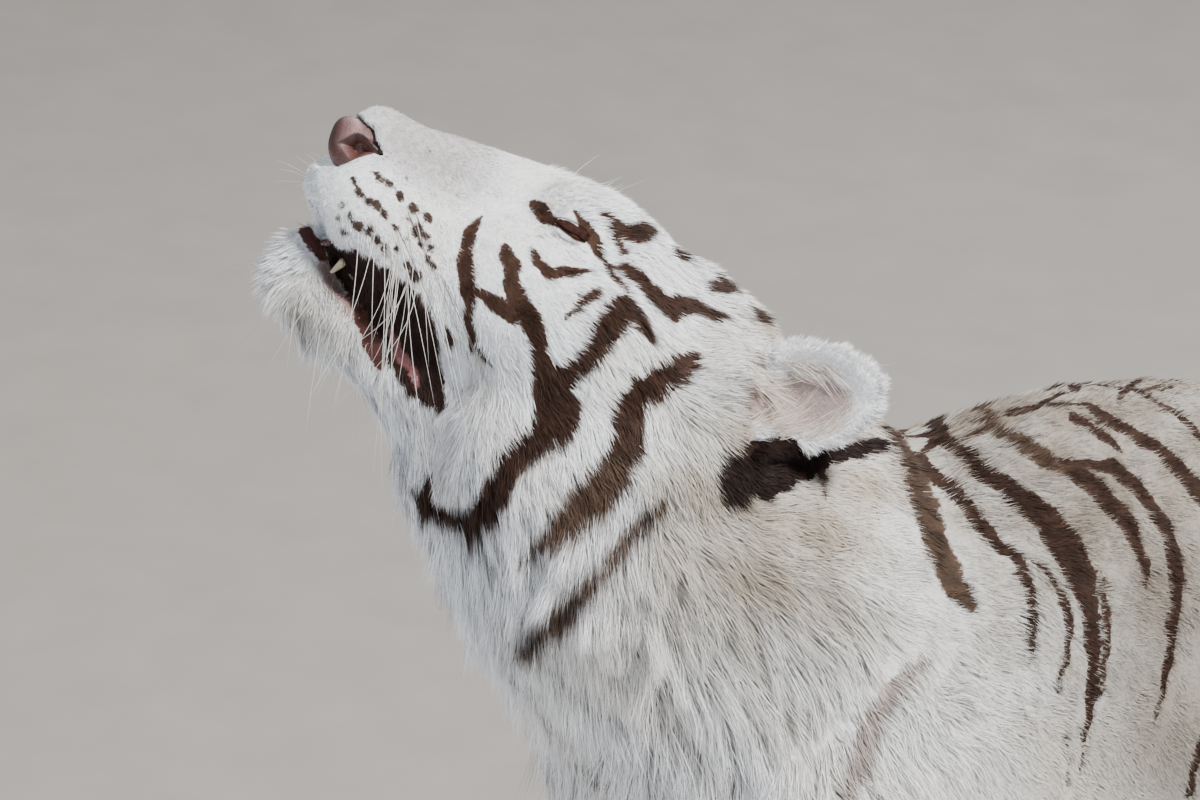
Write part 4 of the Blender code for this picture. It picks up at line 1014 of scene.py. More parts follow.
PUPIL, AMBER, WHITE_OF_EYE = (.01, .008, .006), np.array((.70, .24, .03)), (.28, .15, .12)
LID_DARK_AND_SHADE, LID_RIM = np.array((.030, .0105, .0085)), np.array((.014, .006, .005))
BALL, BALL_BULGE = .0182, .0005
LID_INSIDE, LID_THICK = .0187, .0019
eye_look = finish(bpy.data.materials.new("amber eye"), .08, 900, .25, .05, coat=1.0)
lid_roots = []
for word, side in SIDES.items():
    centre = from_head(EYE * (side, 1, 1))
    gaze = unit(HEAD_TURN @ np.array((side * .93, -.30, -.10)))
    slit = unit(across(HEAD_TURN @ np.array((side * .2, .97, .14)), gaze))
    rise = np.cross(gaze, slit) * side
    rings, around = 28, 40
    points, colours = [], []
    for i in range(rings):
        polar = pi * (i + .5) / rings
        for j in range(around):
            turn = 2 * pi * j / around
            out = gaze * cos(polar) + (slit * cos(turn) + rise * sin(turn)) * sin(polar)
            points.append(centre + out * (BALL + BALL_BULGE * np.exp(-(polar / .5) ** 2)))
            if polar < .16:
                colours.append(PUPIL)
            elif polar < .90:
                colours.append(AMBER * (1.0 + .35 * sin(9 * turn) * sin(5 * turn + 1)))
            else:
                colours.append(WHITE_OF_EYE)
    faces = grid_faces(rings, around, closed=True)
    ball = new_object("eyeball " + word, np.array(points), faces, eye_look)
    face_out(ball, centre)
    paint(ball, "coat", np.array(colours))
    place(ball, "eye_amber", "eye_" + word)

    # The two lids are one shell round the ball, from the line where they nearly meet out to the skin.
    look = unit(HEAD_TURN @ np.array((side * .985, -.05, .02)))
    slit = unit(across(HEAD_TURN @ np.array((side * .05, .995, .05)), look))
    rise = np.cross(look, slit) * (1 if np.cross(look, slit) @ HEAD_TURN[:, 2] > 0 else -1)
    around, bands = 96, 30
    points, bare, dark, rim = [], [], [], []
    for i in range(bands):
        s = i / (bands - 1)
        for j in range(around):
            turn = 2 * pi * j / around
            rim_along = 1.20 * cos(turn)
            gap = .070 * np.exp(-((rim_along - .34) / .28) ** 2) + .006
            line = -.06 + .10 * (rim_along / 1.2) ** 2
            rim_up = line + (gap if sin(turn) > 0 else -gap * .6) * min(1, 4 * abs(sin(turn)))
            along = rim_along * (1 - s) + 1.80 * cos(turn) * s
            high = rim_up * (1 - s) + 1.45 * sin(turn) * s
            angle = np.hypot(along, high) / 1.85
            sideways = unit(slit * along + rise * high)
            fold = .0010 * np.exp(-((s - .42) / .05) ** 2) * ramp(abs(sin(turn)), .2, .6)
            shell = LID_INSIDE + LID_THICK * ramp(s, 0, .05) - fold - .0012 * ramp(s, .7, 1)
            points.append(centre + (look * cos(angle) + sideways * sin(angle)) * shell)
            upper = sin(turn) > .05
            # The upper lid's broad dark band is partly its dark skin and partly painted shade under the
            # brow.
            dark.append(ramp(-s, -(.62 if upper else .16), -(.40 if upper else .09)))
            rim.append(np.exp(-(s / .07) ** 2))
            bare.append(s < (.52 if upper else .16))
    points = np.array(points)
    faces = grid_faces(bands, around)
    lid = new_object("eyelids " + word, points, faces, skin_look)
    face_out(lid, centre)
    dark, rim = np.array(dark)[:, None], np.array(rim)[:, None]
    colour = coat_colour(points)
    colour = colour * .85 * (1 - dark) + LID_DARK_AND_SHADE * (1 + .3 * wander(points, .004, 8)[:, None]) * dark
    colour = colour * (1 - rim) + LID_RIM * rim
    paint(lid, "coat", colour)
    paint(lid, "tint", colour)
    paint(lid, "mark", np.zeros((len(points), 3)))
    place(lid, "nose_skin")
    furred = [f for f in faces if not any(bare[v] for v in f)]
    halves = [half for one, two, three, four in furred for half in ((one, two, three), (one, three, four))]
    lid_roots.append((points, unit(points - centre), np.array(halves)))

# ---- Coat ------------------------------------------------------------------------------------
# The fur: thin overlapping locks of hair as solid mesh, rooted in the skin and lying the way the coat
# lies. A lock is a narrow blade of three or seven triangles, bent over its length and drawn to a point.
EDGE_OF_MARK = .0007     # how soft a marking's edge is in the hair
ROOT_DEPTH = .0012       # how deep a lock is set in the skin
LONG_HAIR = .024         # longer locks get four steps for their bend, the others two
ONE_COLOUR_FROM = .0095  # locks of two steps that are longer than this have one colour
LID_LOCKS, EAR_LOCKS = 110, 120  # locks on each square centimetre
hair_look = finish(bpy.data.materials.new("coat"), .62, 700, .10, .15, gloss=.14)
base_points, base_normals, base_faces = [skin_points], [skin_normals], [skin_faces]
for points, normals, faces in lid_roots:
    base_faces.append(faces + sum(len(p) for p in base_points))
    base_points.append(points)
    base_normals.append(normals)
base_points, base_normals = np.concatenate(base_points), np.concatenate(base_normals)
base_faces = np.concatenate(base_faces)
corner = base_points[base_faces]
face_middle = corner.mean(axis=1)
face_cross = np.cross(corner[:, 1] - corner[:, 0], corner[:, 2] - corner[:, 0])
face_area = np.linalg.norm(face_cross, axis=1) / 2


def hair_rules(points, normals):
    """Locks for each square centimetre at each point, and none where the skin is bare."""
    left = to_head(points)[:, 0]
    x, y, z = to_body(points).T
    from_face = np.linalg.norm(to_head(points) - (0, 15, -3), axis=1)
    near_side = ramp(left, -6, 3) * .6 + .4
    density = 5 + 62 * ramp(-from_face, -30, -13) * near_side
    density += 17 * np.exp(-(np.linalg.norm(points - from_body((16, -18, 78)), axis=1) / .24) ** 2)
    density += 10 * np.exp(-(np.linalg.norm(points - from_body((8, 2, 90)), axis=1) / .22) ** 2)
    density += 8 * ramp(-z, -12, -8)
    density += 20 * np.exp(-(np.abs(y - 2) / 24) ** 4) * ramp(x, -2, 8) * ramp(z, 50, 62)
    density += 15 * np.exp(-(np.linalg.norm(to_head(points) - (8, 27, -13), axis=1) / 13) ** 4)
    density[bare_nose(points)] = 0
    for side in (1, -1):
        spots = (to_head(points) - EYE * (side, 1, 1)) * (side, 1, 1)
        density[(np.abs(spots[:, 1]) < 1.35) & (np.abs(spots[:, 2] - .15) < 1.0) & (spots[:, 0] > 0)] = 0
    for word in SIDES:
        up_ear, sideways, out = ear_place(points, word)
        ear = in_ear(up_ear, sideways, out)
        density[ear] = EAR_LOCKS
        facing = normals @ (HEAD_TURN @ EARS[word][3]) > .25
        bare = ear & facing & (((up_ear - 3.7) / 3.6) ** 2 + ((sideways - .45) / 1.75) ** 2 < 1)
        density[bare] = 0
    density[(z < 1.2) & (normals[:, 2] < -.6)] = 0
    return density


face_normal = face_cross / np.maximum(2 * face_area[:, None], 1e-12)
density = hair_rules(face_middle, face_normal)
first = skin_faces[:, 0]
on_skin_itself = density[:len(skin_faces)]
on_skin_itself[np.isin(skin_kind[first], (PINK, RED)) & (skin_inside[first] > 0)] = 0
on_skin_itself[(skin_kind[first] == PALE) & (skin_inside[first] > 0)] *= .35
density[len(skin_faces):] = LID_LOCKS

# Roots are strewn over each face by its area and the density there.
chance = np.random.default_rng(3)
wanted = face_area * density * 1e4
count = np.floor(wanted + chance.random(len(wanted))).astype(int)
picked = np.repeat(np.arange(len(count)), count)
share = chance.random((len(picked), 2))
over = share.sum(axis=1) > 1
share[over] = 1 - share[over]
weights = np.stack([1 - share.sum(axis=1), share[:, 0], share[:, 1]], axis=1)[..., None]
root = (base_points[base_faces[picked]] * weights).sum(axis=1)
normal = unit((base_normals[base_faces[picked]] * weights).sum(axis=1))
on_lid = picked >= len(skin_faces)
root_density = density[picked]

# Each lock's way, length and lift: the lie of the coat, with its own rule on ears and lids, a swirl
# over a few centimetres and a small chance of its own.
way, _, length, lift = lie_of_coat(root)
for word in SIDES:
    up_ear, sideways, out = ear_place(root, word)
    ear = in_ear(up_ear, sideways, out)
    _, along, cross, opening = EARS[word]
    spread = HEAD_TURN @ along + (sideways[:, None] / 3.0) * (HEAD_TURN @ cross)
    way[ear] = unit(spread[ear])
    inner = ear & (normal @ (HEAD_TURN @ opening) > .2)
    length[ear], lift[ear] = .0085, radians(8)
    length[inner], lift[inner] = .010, radians(11)
length[on_lid], lift[on_lid] = .0036, radians(20)
way = across(way, normal)
length = length * chance.uniform(.75, 1.2, len(root))
swirl = wander(root, .045, 71)[:, None] * .32 + wander(root, .014, 72)[:, None] * .20
beside = np.cross(normal, way)
way = unit(way + beside * (swirl + chance.normal(0, .10, (len(root), 1))))
beside = np.cross(normal, way)
lift = lift + chance.normal(0, .06, len(root)) + .10 * wander(root, .02, 73)

# Long hair gathers into wet points: each lock leans to the tip of the middle lock of its cluster.
LOCKS_IN_CLUSTER = 11
wet = ramp(length, .020, .034)
room = 1 / root_density
seeds = chance.choice(len(root), len(root) // LOCKS_IN_CLUSTER, replace=False, p=room / room.sum())
seed_tree = KDTree(len(seeds))
for n, i in enumerate(seeds):
    seed_tree.insert(root[i], n)
seed_tree.balance()
leader = np.array([seeds[seed_tree.find(spot)[1]] for spot in root])
lean = way * np.cos(lift)[:, None] + normal * np.sin(lift)[:, None]
stand = chance.normal(0, .05, len(root)) + .28 * (chance.random(len(root)) < .12)
tip = root + length[:, None] * (lean + normal * (stand * wet)[:, None])
pull = (np.where(on_ear(root), .06, .22) + .60 * wet)[:, None] * (tip[leader] - tip)
pull *= np.minimum(1, .6 * length / np.maximum(np.linalg.norm(pull, axis=1), 1e-6))[:, None]
droop = np.zeros((len(root), 3))
droop[:, 2] = -.34 * wet * length
sway = beside * (chance.normal(0, .10, (len(root), 1)) * length[:, None])
width = np.clip(3.2 / (root_density * 1e4 * length), .0006, .0034) * chance.uniform(.7, 1.3, len(root))
width = np.minimum(width, length * .16 + .0002)
shade = np.clip(1 + chance.normal(0, 1, len(root)) * (.085 + .075 * wet), .6, 1.2)


def under(points, roots, normals, steps):
    """The places of the skin under points of a lock: below them, or the nearest under long hair."""
    if steps == 4:
        return np.array([skin_tree.find_nearest(p)[0] for p in points])
    return points - normals * np.sum((points - roots) * normals, axis=1, keepdims=True)


PATCH = .003


def locks(name, chosen, steps, chart):
    """One piece of coat: a blade for each chosen root, as a mesh, with its colour and bake map."""
    n = len(chosen)
    r, w, b, nrm = root[chosen], lean[chosen], beside[chosen], normal[chosen]
    size, half = length[chosen, None], width[chosen, None] / 2
    roll = chance.normal(0, .35, n)[:, None]
    edge = unit(b * np.cos(roll) + nrm * np.sin(roll))
    rows, tints = [], []
    nudge = chance.normal(0, .0006, (n, 3))
    bend = pull[chosen] + droop[chosen] + sway[chosen]
    wave = b * (size * wet[chosen, None] * .05)
    phase = 9 * wander(r, .03, 81)[:, None]
    for k in range(steps):
        t = k / steps
        centre = r - nrm * ROOT_DEPTH + w * size * t + bend * t ** 1.7
        centre = centre - nrm * size * .10 * t ** 2 + wave * (np.sin(6.5 * t + phase) - np.sin(phase)) * t
        breadth = half * (1 - .55 * t ** 1.5) * (.75 if k == 0 else 1)
        rows += [centre - edge * breadth, centre + edge * breadth]
        tints += [coat_colour(under(centre + nudge, r, nrm, steps), EDGE_OF_MARK)] * 2
    end = r + w * size + bend - nrm * size * .10
    rows.append(end)
    tints.append(coat_colour(under(end + nudge, r, nrm, steps), EDGE_OF_MARK))
    if steps == 2:
        middle = r + w * size * .62 + bend * .45
        one = coat_colour(under(middle + nudge, r, nrm, steps), EDGE_OF_MARK)
        whole = size > ONE_COLOUR_FROM
        tints = [np.where(whole, one, tint) for tint in tints]
    points = np.stack(rows, axis=1)
    points[..., 2] = np.maximum(points[..., 2], .0006)
    of_lock = 2 * steps + 1
    pattern = []
    for k in range(0, 2 * steps - 2, 2):
        pattern += [(k, k + 1, k + 3), (k, k + 3, k + 2)]
    pattern.append((of_lock - 3, of_lock - 2, of_lock - 1))
    faces = (np.arange(n)[:, None, None] * of_lock + np.array(pattern)[None]).reshape(-1, 3)
    facing = np.cross(points[:, 1] - points[:, 0], points[:, -1] - points[:, 0])
    if np.mean(np.sum(facing * nrm, axis=1)) < 0:
        faces = faces[:, ::-1]
    piece = new_object(name, points.reshape(-1, 3), faces, hair_look)

    # A lock is darker at its root, as painted shade among the hair. Long ones lie over each other, so the
    # painted shade at their roots is darker still.
    along = np.array([k / steps for k in range(steps) for _ in (0, 1)] + [1.0])
    light = .76 + .30 * along - .09 * (1 - along) * (steps == 4)
    colour = np.stack(tints, axis=1) * (light[None, :, None] * shade[chosen, None, None])
    paint(piece, "coat", colour.reshape(-1, 3))

    # On the bake map each lock has a small patch at its root's place on the unrolled skin.
    u, v = (.01 + .98 * (run - run.min()) / (run.max() - run.min()) for run in chart(r))
    across_patch = np.array([s for _ in range(steps) for s in (-1, 1)] + [0.0]) * (PATCH / 2)
    patch = np.stack([u[:, None] + across_patch, v[:, None] + (along - .5) * PATCH], axis=2)
    layer = piece.data.uv_layers.new(name="OFBake")
    layer.data.foreach_set("uv", patch.reshape(-1, 2)[faces.ravel()].astype(np.float32).ravel())
    place(piece, "white_coat")


def round_axis(origin, along, up):
    """A map of the skin unrolled about an axis: distance along it and angle round it."""
    along = unit(np.array(along, float))
    up = unit(across(np.array(up, float), along))
    beside = np.cross(along, up)

    def chart(points):
        rel = points - origin
        return rel @ along, np.arctan2(rel @ beside, -(rel @ up))
    return chart


# The coat is cut into pieces by region, and each is unrolled about its own axis.
head_chart = round_axis(from_head((0, 0, -3)), HEAD_TURN[:, 1], (0, 0, 1))
neck_chart = round_axis(from_body((0, -20, 78)), (0, 1, -.5), (0, 0, 1))
trunk_chart = round_axis(from_body((0, 0, AXIS_HEIGHT)), (0, 1, 0), (0, 0, 1))
left, back, up = to_head(root).T
x, y, z = to_body(root).T
on_tail = (y > 90) | ((y > 84) & (z > 60) & (np.abs(x) < 9))
foreleg = (z < 50) & (y < 12) & ~on_tail
hindleg = (z < 58) & (y > 45) & ~on_tail & ~((z > 44) & (np.abs(x) < 4))
leg = foreleg | hindleg
head_zone = (back < 27) & ~leg & (up > -24)
neck_zone = ~head_zone & ~leg & (y < -6)
zones = {}
for word, side in SIDES.items():
    on_side = (x >= 0) if side > 0 else (x < 0)
    own = (left >= 0) if side > 0 else (left < 0)
    zones["coat of head front " + word] = (head_zone & own & (back < 14), head_chart)
    zones["coat of head rear " + word] = (head_zone & own & (back >= 14), head_chart)
    zones["coat of neck " + word] = (neck_zone & on_side, neck_chart)
    zones["coat of trunk " + word] = (~head_zone & ~neck_zone & ~leg & ~on_tail & on_side, trunk_chart)
    for legs, title, node in ((foreleg, "foreleg", "forearm_"), (hindleg, "hind leg", "shank_")):
        low, high = (np.array(corner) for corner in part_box(node + word))
        leg_chart = round_axis((low + high) / 2, (0, 0, 1), (0, 1, 0))
        zones["coat of %s %s" % (title, word)] = (legs & on_side, leg_chart)
zones["coat of tail"] = (on_tail & ~leg, round_axis(tail_line[1], tail_line[2] - tail_line[0], (0, 1, 1)))
TRIANGLES_IN_PIECE = 190000
for name, (zone, chart) in zones.items():
    for long_hair, steps in ((False, 2), (True, 4)):
        chosen = np.where(zone & ((length > LONG_HAIR) == long_hair))[0]
        if not len(chosen):
            continue
        limit = TRIANGLES_IN_PIECE // (2 * steps - 1)
        for n, part in enumerate(np.array_split(chosen, -(-len(chosen) // limit))):
            title = name + (" long" if long_hair else "") + (" %d" % (n + 1) if n else "")
            locks(title, part, steps, chart)

# ---- Nose ------------------------------------------------------------------------------------
# A pad of pebbled leather, brown-pink and dark along its front rim: a squared ball set in its bed in
# the skin. A comma of a nostril, red inside, is pressed into each wing, and a groove runs down the
# middle to the split of the lip.
leather_look = finish(bpy.data.materials.new("nose leather"), .42, 900, .18, .7)
rows, columns = 130, 160
polar = np.repeat(np.linspace(.03, pi - .03, rows), columns)
turn = np.tile(2 * pi * np.arange(columns) / columns, rows)
out = np.stack([np.cos(polar), np.sin(polar) * np.cos(turn), np.sin(polar) * np.sin(turn)], axis=1)
size, squareness = np.array((2.50, 2.37, 1.90)), 2.5
swell = (np.abs(out) ** squareness).sum(axis=1) ** (-1 / squareness)
spot = NOSE_PAD + out * size * swell[:, None]
spot[:, 1] += .28 * (.9 - spot[:, 2])
spot[:, 1] += .30 * np.clip(np.abs(spot[:, 0]) - .6, 0, 3) ** 1.3 * ramp(-spot[:, 1], -2, 0)

# The nostril's outline on each wing, back and up: its first two sides are the sill, the rest the roof.
wing = np.array([(.15, .42), (1.35, -.05), (2.75, 1.45), (1.35, 1.95), (.62, 1.72)])
gaps = []
for one, two in zip(wing, np.roll(wing, -1, axis=0)):
    run = two - one
    inward = np.array((-run[1], run[0])) / np.hypot(*run)
    gaps.append((spot[:, 1:] - one) @ inward)
gaps = np.array(gaps)
lateral = ramp(np.abs(spot[:, 0]), .55, 1.0)
rounding, hollow_depth, tail_depth, groove_depth = .12, .42, .16, .14
roof, sill = (-rounding * np.log(np.exp(-np.clip(gaps[own], -3, 3) / rounding).sum(axis=0))
              for own in ([2, 3, 4], [0, 1]))
hollow = ramp(roof, 0, .16) * ramp(sill, 0, .55) * lateral
spot -= (out * size) * (hollow_depth * hollow)[:, None]
tail = np.exp(-((spot[:, 2] - 1.95 - .12 * (spot[:, 1] - 2.2)) / .16) ** 2)
tail = tail * ramp(spot[:, 1], 1.4, 2.0) * lateral
groove = np.exp(-(spot[:, 0] / .10) ** 2) * ramp(-spot[:, 2], -1.6, -.4) * (spot[:, 1] < 1)
spot -= out * (tail_depth * tail + groove_depth * groove)[:, None]
points = from_head(spot)
nose = new_object("nose pad", points, grid_faces(rows, columns, closed=True), leather_look)
face_out(nose, from_head(NOSE_PAD))

# Its colours are laid one over the other, each by its own amount.
back, up = spot[:, 1], spot[:, 2]
leather, mottling = np.ones(len(spot)), ramp(wander(points, .009, 6), .1, .9)
# A pale pink band along the upper front of each wing, above the nostril, is a painted highlight.
painted_highlight_band = np.exp(-((back - .5) / .35) ** 2) * ramp(up, .2, 1.0) * lateral
dark_front = ramp(-back - .28 * up, -.35, .05)
below_sill = ramp(-gaps[:2].min(axis=0), .02, .25) * lateral
foot_of_pad = ramp(-up, -.95, -.2) * ramp(back, .2, .9)
roof_line = np.exp(-(roof / .07) ** 2) * ramp(sill, -.1, .2) * lateral
tones = [
    (leather, (.145, .080, .076)),
    (mottling * .45, (.12, .055, .045)),
    (painted_highlight_band * .6, (.30, .17, .165)),
    (dark_front * .8, (.060, .028, .024)),
    (below_sill * .8, (.075, .022, .017)),
    (foot_of_pad * .75, (.070, .025, .021)),
    (ramp(hollow, .1, .8) * .9, (.075, .024, .018)),
    (roof_line * .95, (.022, .008, .007)),
    (tail * .8, (.07, .018, .015)),
    (groove * .9, (.04, .016, .014)),
]
colour = np.zeros((len(spot), 3))
for amount, tint in tones:
    amount = np.clip(amount, 0, 1)[:, None]
    colour = colour * (1 - amount) + np.array(tint) * amount
paint(nose, "coat", colour)
place(nose, "nose_skin", "nose")

# ---- Lips ------------------------------------------------------------------------------------
# Wet bare lips, dark brown above and brown-pink below: a soft bead along each edge of the mouth,
# sunk a little in the skin, from one corner round the front to the other.
def lip(name, heights, tint, thick, inset):
    """One lip: its heights run from the front to the corner, in head centimetres as all its sizes."""
    backs = np.array((0.6, 1.5, 3.0, 5.5, 7.5, 9.5, 12.0, 14.4))
    line = np.interp(backs, (-3.0, 1.5, 5.5, 9.5, 14.6), heights)
    half = []
    for back, up in zip(backs, line):
        hit = on_skin(from_head((30, back, up)), -HEAD_TURN[:, 0])
        if hit is not None:
            spot = to_head(np.array(hit))
            if spot[0] > .8:
                half.append(spot - (inset, 0, 0))
    front = []
    for left in (1.6, .8):
        hit = on_skin(from_head((left, -12, line[0])), HEAD_TURN[:, 1])
        if hit is not None:
            front.append(to_head(np.array(hit)) + (0, inset, 0))
    run = half[::-1] + front
    run = np.array(run + [spot * (-1, 1, 1) for spot in run[::-1]])
    at = np.concatenate([[0], np.cumsum(np.linalg.norm(np.diff(run, axis=0), axis=1))])
    stations, around = 150, 14
    t = np.linspace(0, at[-1], stations)
    path = np.stack([np.interp(t, at, run[:, n]) for n in range(3)], axis=1)
    for _ in range(4):
        path[1:-1] = (path[:-2] + path[1:-1] * 2 + path[2:]) / 4
    forward = unit(np.gradient(path, axis=0))
    side_way = unit(np.cross(forward, (0, 0, 1.0)))
    upward = np.cross(side_way, forward)
    ends = np.minimum(1, np.minimum(t, at[-1] - t) / 1.5) ** .5
    radius = thick * (1 + .12 * wander(path, 1.6, 4))[:, None] * ends[:, None]
    body = []
    for n in range(around):
        angle = 2 * pi * n / around
        body.append(path + (side_way * cos(angle) * .8 + upward * sin(angle)) * radius)
    body = from_head(np.stack(body, axis=1).reshape(-1, 3))
    bead = new_object(name, body, grid_faces(stations, around, closed=True), lip_look)
    bm = bmesh.new()
    bm.from_mesh(bead.data)
    bmesh.ops.recalc_face_normals(bm, faces=bm.faces)
    bm.to_mesh(bead.data)
    bm.free()
    bead.data.shade_smooth()
    colour = np.array(tint) * (1 + .35 * wander(body, .011, 12)[:, None])
    paint(bead, "coat", np.clip(colour, .005, 1))
    place(bead, "nose_skin")


lip_look = finish(bpy.data.materials.new("wet lip"), .32, 500, .22, .6, coat=.3)
lip("upper lip", (-4.35, -4.65, -5.95, -7.25, -9.75), tint=(.060, .026, .021), thick=.26, inset=.42)
lip("lower lip", (-4.7, -5.05, -7.05, -8.5, -10.1), tint=(.115, .046, .040), thick=.28, inset=.40)

# ---- Teeth and claws -------------------------------------------------------------------------
# Four canines of ivory and sixteen drawn-in claws of horn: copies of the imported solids, rounded off
# over their edges. The canines sit in the gums as deep as the lips leave them.
tooth_look = finish(bpy.data.materials.new("tooth"), .3, 260, .10, .2, (.62, .52, .36), coat=.3)
claw_look = finish(bpy.data.materials.new("claw horn"), .4, 300, .3, .4, (.33, .27, .21))
UPPER_SHOWN, LOWER_SHOWN = .97, .40
names = bpy.data.objects.keys()
teeth = [(name, tooth_look, "tooth") for name in names if name.startswith("canine_")]
claws = [(name, claw_look, "claw_horn") for name in names if name.startswith("claw_")]
for name, look, slot_name in teeth + claws:
    points, _, faces = node_mesh(name)
    if "canine" in name:
        tooth, upper = to_head(points), "upper" in name
        gum = tooth[:, 2].max() if upper else tooth[:, 2].min()
        tooth[:, 2] = gum + (tooth[:, 2] - gum) * (UPPER_SHOWN if upper else LOWER_SHOWN)
        points = from_head(tooth)
    hard = new_object(name.replace("_", " "), points, faces, look)
    hard.name = "smooth_" + name
    round_off = hard.modifiers.new("Round", "SUBSURF")
    round_off.levels = round_off.render_levels = 2
    hard.data = bpy.data.meshes.new_from_object(hard.evaluated_get(bpy.context.evaluated_depsgraph_get()))
    hard.modifiers.clear()
    hard.data.shade_smooth()
    place(hard, slot_name, name)

# ---- Whiskers --------------------------------------------------------------------------------
# Long stiff white hairs from the whisker pad, a few fine dark ones across the cheek, and bristles on
# the lips, the chin, above the eye and in the ear. Each is a tapered three-sided hair of solid mesh
# set in the skin, and all are one piece.
whisker_look = finish(bpy.data.materials.new("whisker"), .4, 200, .08, .1)
WHITE_HAIR, CHEEK_WHITE, DARK_HAIR = (.80, .78, .73), (.82, .80, .76), (.10, .08, .07)
LIP_HAIR, CHIN_HAIR, BROW_HAIR = (.85, .83, .78), (.80, .78, .72), (.82, .80, .75)
EAR_HAIR = (.74, .66, .58)
# The roots of the cheek's dark hairs, centimetres back and up, and their lengths in metres.
CHEEK_HAIRS = ((5, 0, .13), (6.2, -.2, .15), (7.1, -.1, .12), (7.5, -1.2, .16), (5.8, -1.7, .11))
chance = np.random.default_rng(9)
hair_points, hair_faces, hair_colours = [], [], []


def bristle(start, aim, bend, size, thick, colour):
    """A tapered three-sided hair along a bent line."""
    aim, steps = unit(np.array(aim, float)), 9
    side_way = unit(np.cross(aim, (.3, .2, .93)))
    other = np.cross(aim, side_way)
    base = len(hair_points)
    for k in range(steps):
        t = k / (steps - 1)
        centre = start + aim * size * t + np.array(bend) * t ** 2
        radius = thick * (1 - t) ** .7 + .00003
        for j in range(3):
            angle = 2 * pi * j / 3
            hair_points.append(centre + (side_way * cos(angle) + other * sin(angle)) * radius)
            hair_colours.append(colour)
    for k in range(steps - 1):
        for j in range(3):
            one, two = base + 3 * k + j, base + 3 * k + (j + 1) % 3
            hair_faces.extend([(one, two, two + 3), (one, two + 3, one + 3)])


def skin_near(spot, side):
    """The place of the skin beside a place on the head, centimetres back and up."""
    hit = on_skin(from_head((side * 30, spot[0], spot[1])), HEAD_TURN[:, 0] * -side)
    return np.array(hit) if hit else from_head((side * 3, spot[0], spot[1]))


def to_turned(way):
    """A way in the head's directions, in the row's."""
    return HEAD_TURN @ np.array(way)


for side in (1, -1):
    for n in range(20):  # the long white ones, hanging by their weight
        start = skin_near((chance.uniform(4.2, 8.8), chance.uniform(-4.4, -2.6)), side)
        aim = to_turned((side * chance.uniform(.25, .55), chance.normal(.50, .22), -1))
        bend = to_turned((-side * .015, chance.normal(0, .030), chance.normal(0, .014)))
        down, sag = np.array((0, 0, -.35)), np.array((0, 0, -.018))
        bristle(start, aim + down, bend + sag, chance.uniform(.05, .14), .00028, WHITE_HAIR)
    for back, up, size in CHEEK_HAIRS:
        aim, bend = to_turned((side * .35, .95, -.55)), (0, 0, -.022)
        bristle(skin_near((back, up), side), aim, bend, size, .00033, DARK_HAIR)
        beside_it, lower = skin_near((back + .1, up - .15), side), aim + to_turned((0, -.1, -.2))
        bristle(beside_it, lower, bend, size * .9, .00033, CHEEK_WHITE)
    for n in range(7):
        start = skin_near((chance.uniform(.2, 3.2), chance.uniform(-3.4, -1.0)), side)
        aim = to_turned((side * chance.uniform(.2, .8), -1.0, -.1 + chance.normal(0, .25)))
        bristle(start, aim, (0, 0, -.006), chance.uniform(.015, .040), .00016, LIP_HAIR)
    for n in range(9):
        start = skin_near((chance.uniform(3, 9), chance.uniform(-11, -8)), side)
        aim = to_turned((side * .25, chance.uniform(-.2, .5), -1))
        bristle(start, aim, (0, 0, -.008), chance.uniform(.03, .07), .00025, CHIN_HAIR)
    for n in range(4):
        over_eye = from_head((side * 5.4, chance.uniform(14.5, 18), 8))
        start = np.array(skin_tree.find_nearest(Vector(over_eye))[0])
        aim = to_turned((side * .5, chance.uniform(.2, .9), .9))
        bristle(start, aim, (0, 0, -.004), chance.uniform(.018, .045), .00015, BROW_HAIR)
for word in SIDES:
    ear_root, along, sideways, opening = EARS[word]
    for n in range(340):  # fine hair from both edges of the ear's hollow
        foot = ear_root + along * chance.uniform(.3, 6.8)
        foot = foot + sideways * (.45 + chance.choice((-1, 1)) * chance.uniform(1.2, 2.2)) + opening * .2
        hit = skin_tree.find_nearest(Vector(from_head(foot + opening * .5)))[0]
        inward = -sideways * np.sign((foot - ear_root) @ sideways - .45) * chance.uniform(-.1, 1.0)
        aim = to_turned(along + inward + opening * chance.uniform(.1, .35))
        bend = to_turned(opening * -.006 + sideways * chance.normal(0, .006))
        bristle(np.array(hit), aim, bend, chance.uniform(.015, .042), .0002, EAR_HAIR)
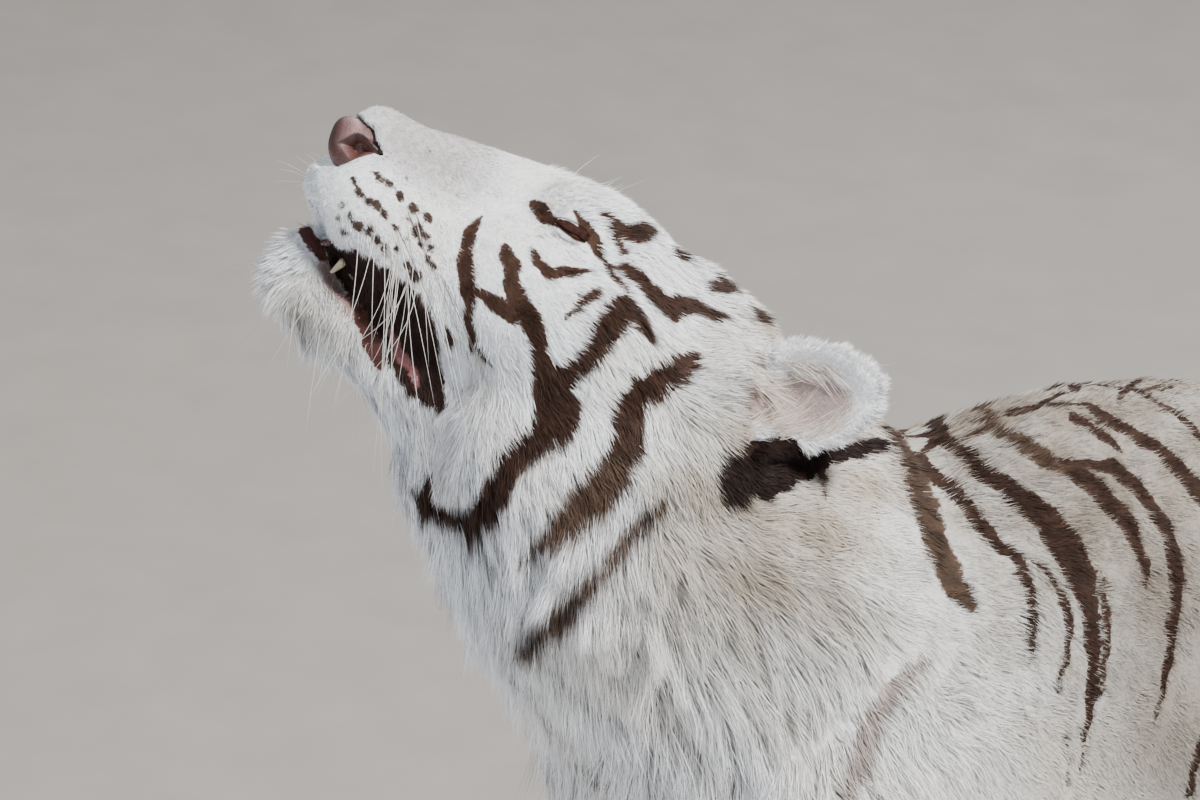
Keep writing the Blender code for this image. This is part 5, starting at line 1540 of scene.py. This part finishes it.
whiskers = new_object("whiskers and bristles", np.array(hair_points), np.array(hair_faces), whisker_look)
paint(whiskers, "coat", np.array(hair_colours))
place(whiskers, "white_coat")

# ---- Floor, camera and light -----------------------------------------------------------------
# A plain pale studio floor, a long lens that looks a little down on the left of the head, and a broad
# soft key from high on the camera's side with weaker fill from the front and the other side.
floor_look = finish(bpy.data.materials.new("studio floor"), .8, 12, .04, .1, (.34, .315, .285))
FLOOR = 60
corners = np.array([(-FLOOR, -FLOOR, 0), (FLOOR, -FLOOR, 0), (FLOOR, FLOOR, 0), (-FLOOR, FLOOR, 0)])
floor = new_object("floor", corners, [(0, 1, 2, 3)], floor_look, False)

DISTANCE, DOWN, FORWARD = 5.0, radians(23), radians(16)
view_out = np.array((cos(DOWN) * cos(FORWARD), -cos(DOWN) * sin(FORWARD), sin(DOWN)))
target = np.array((-.0935, -.8385, .9575))
lens = bpy.data.cameras.new("camera")
lens.lens = 221.24
lens.sensor_width = 36
lens.clip_end = 60
camera = bpy.data.objects.new("camera", lens)
camera.location = target + view_out * DISTANCE
camera.rotation_euler = Vector(-view_out).to_track_quat("-Z", "Y").to_euler()
bpy.context.scene.collection.objects.link(camera)
bpy.context.scene.camera = camera


def lamp(name, at, size, watts, colour):
    """A square soft lamp turned to the middle of the view."""
    light = bpy.data.lights.new(name, "AREA")
    light.size, light.energy, light.color = size, watts, colour
    lit = bpy.data.objects.new(name, light)
    lit.location = at
    lit.rotation_euler = (Vector(target) - Vector(at)).to_track_quat("-Z", "Y").to_euler()
    bpy.context.scene.collection.objects.link(lit)


lamp("key", (1.9, .5, 4.4), .9, 430, (1, .97, .93))
lamp("fill", (1.6, -4.4, 1.1), 2.5, 105, (.88, .93, 1))
lamp("back", (-3.0, .6, 3.2), 2.0, 110, (.95, .97, 1))
world = bpy.data.worlds.new("studio")
world.use_nodes = True
sky = world.node_tree.nodes["Background"]
sky.inputs["Color"].default_value = (.75, .80, .88, 1)
sky.inputs["Strength"].default_value = .30
bpy.context.scene.world = world
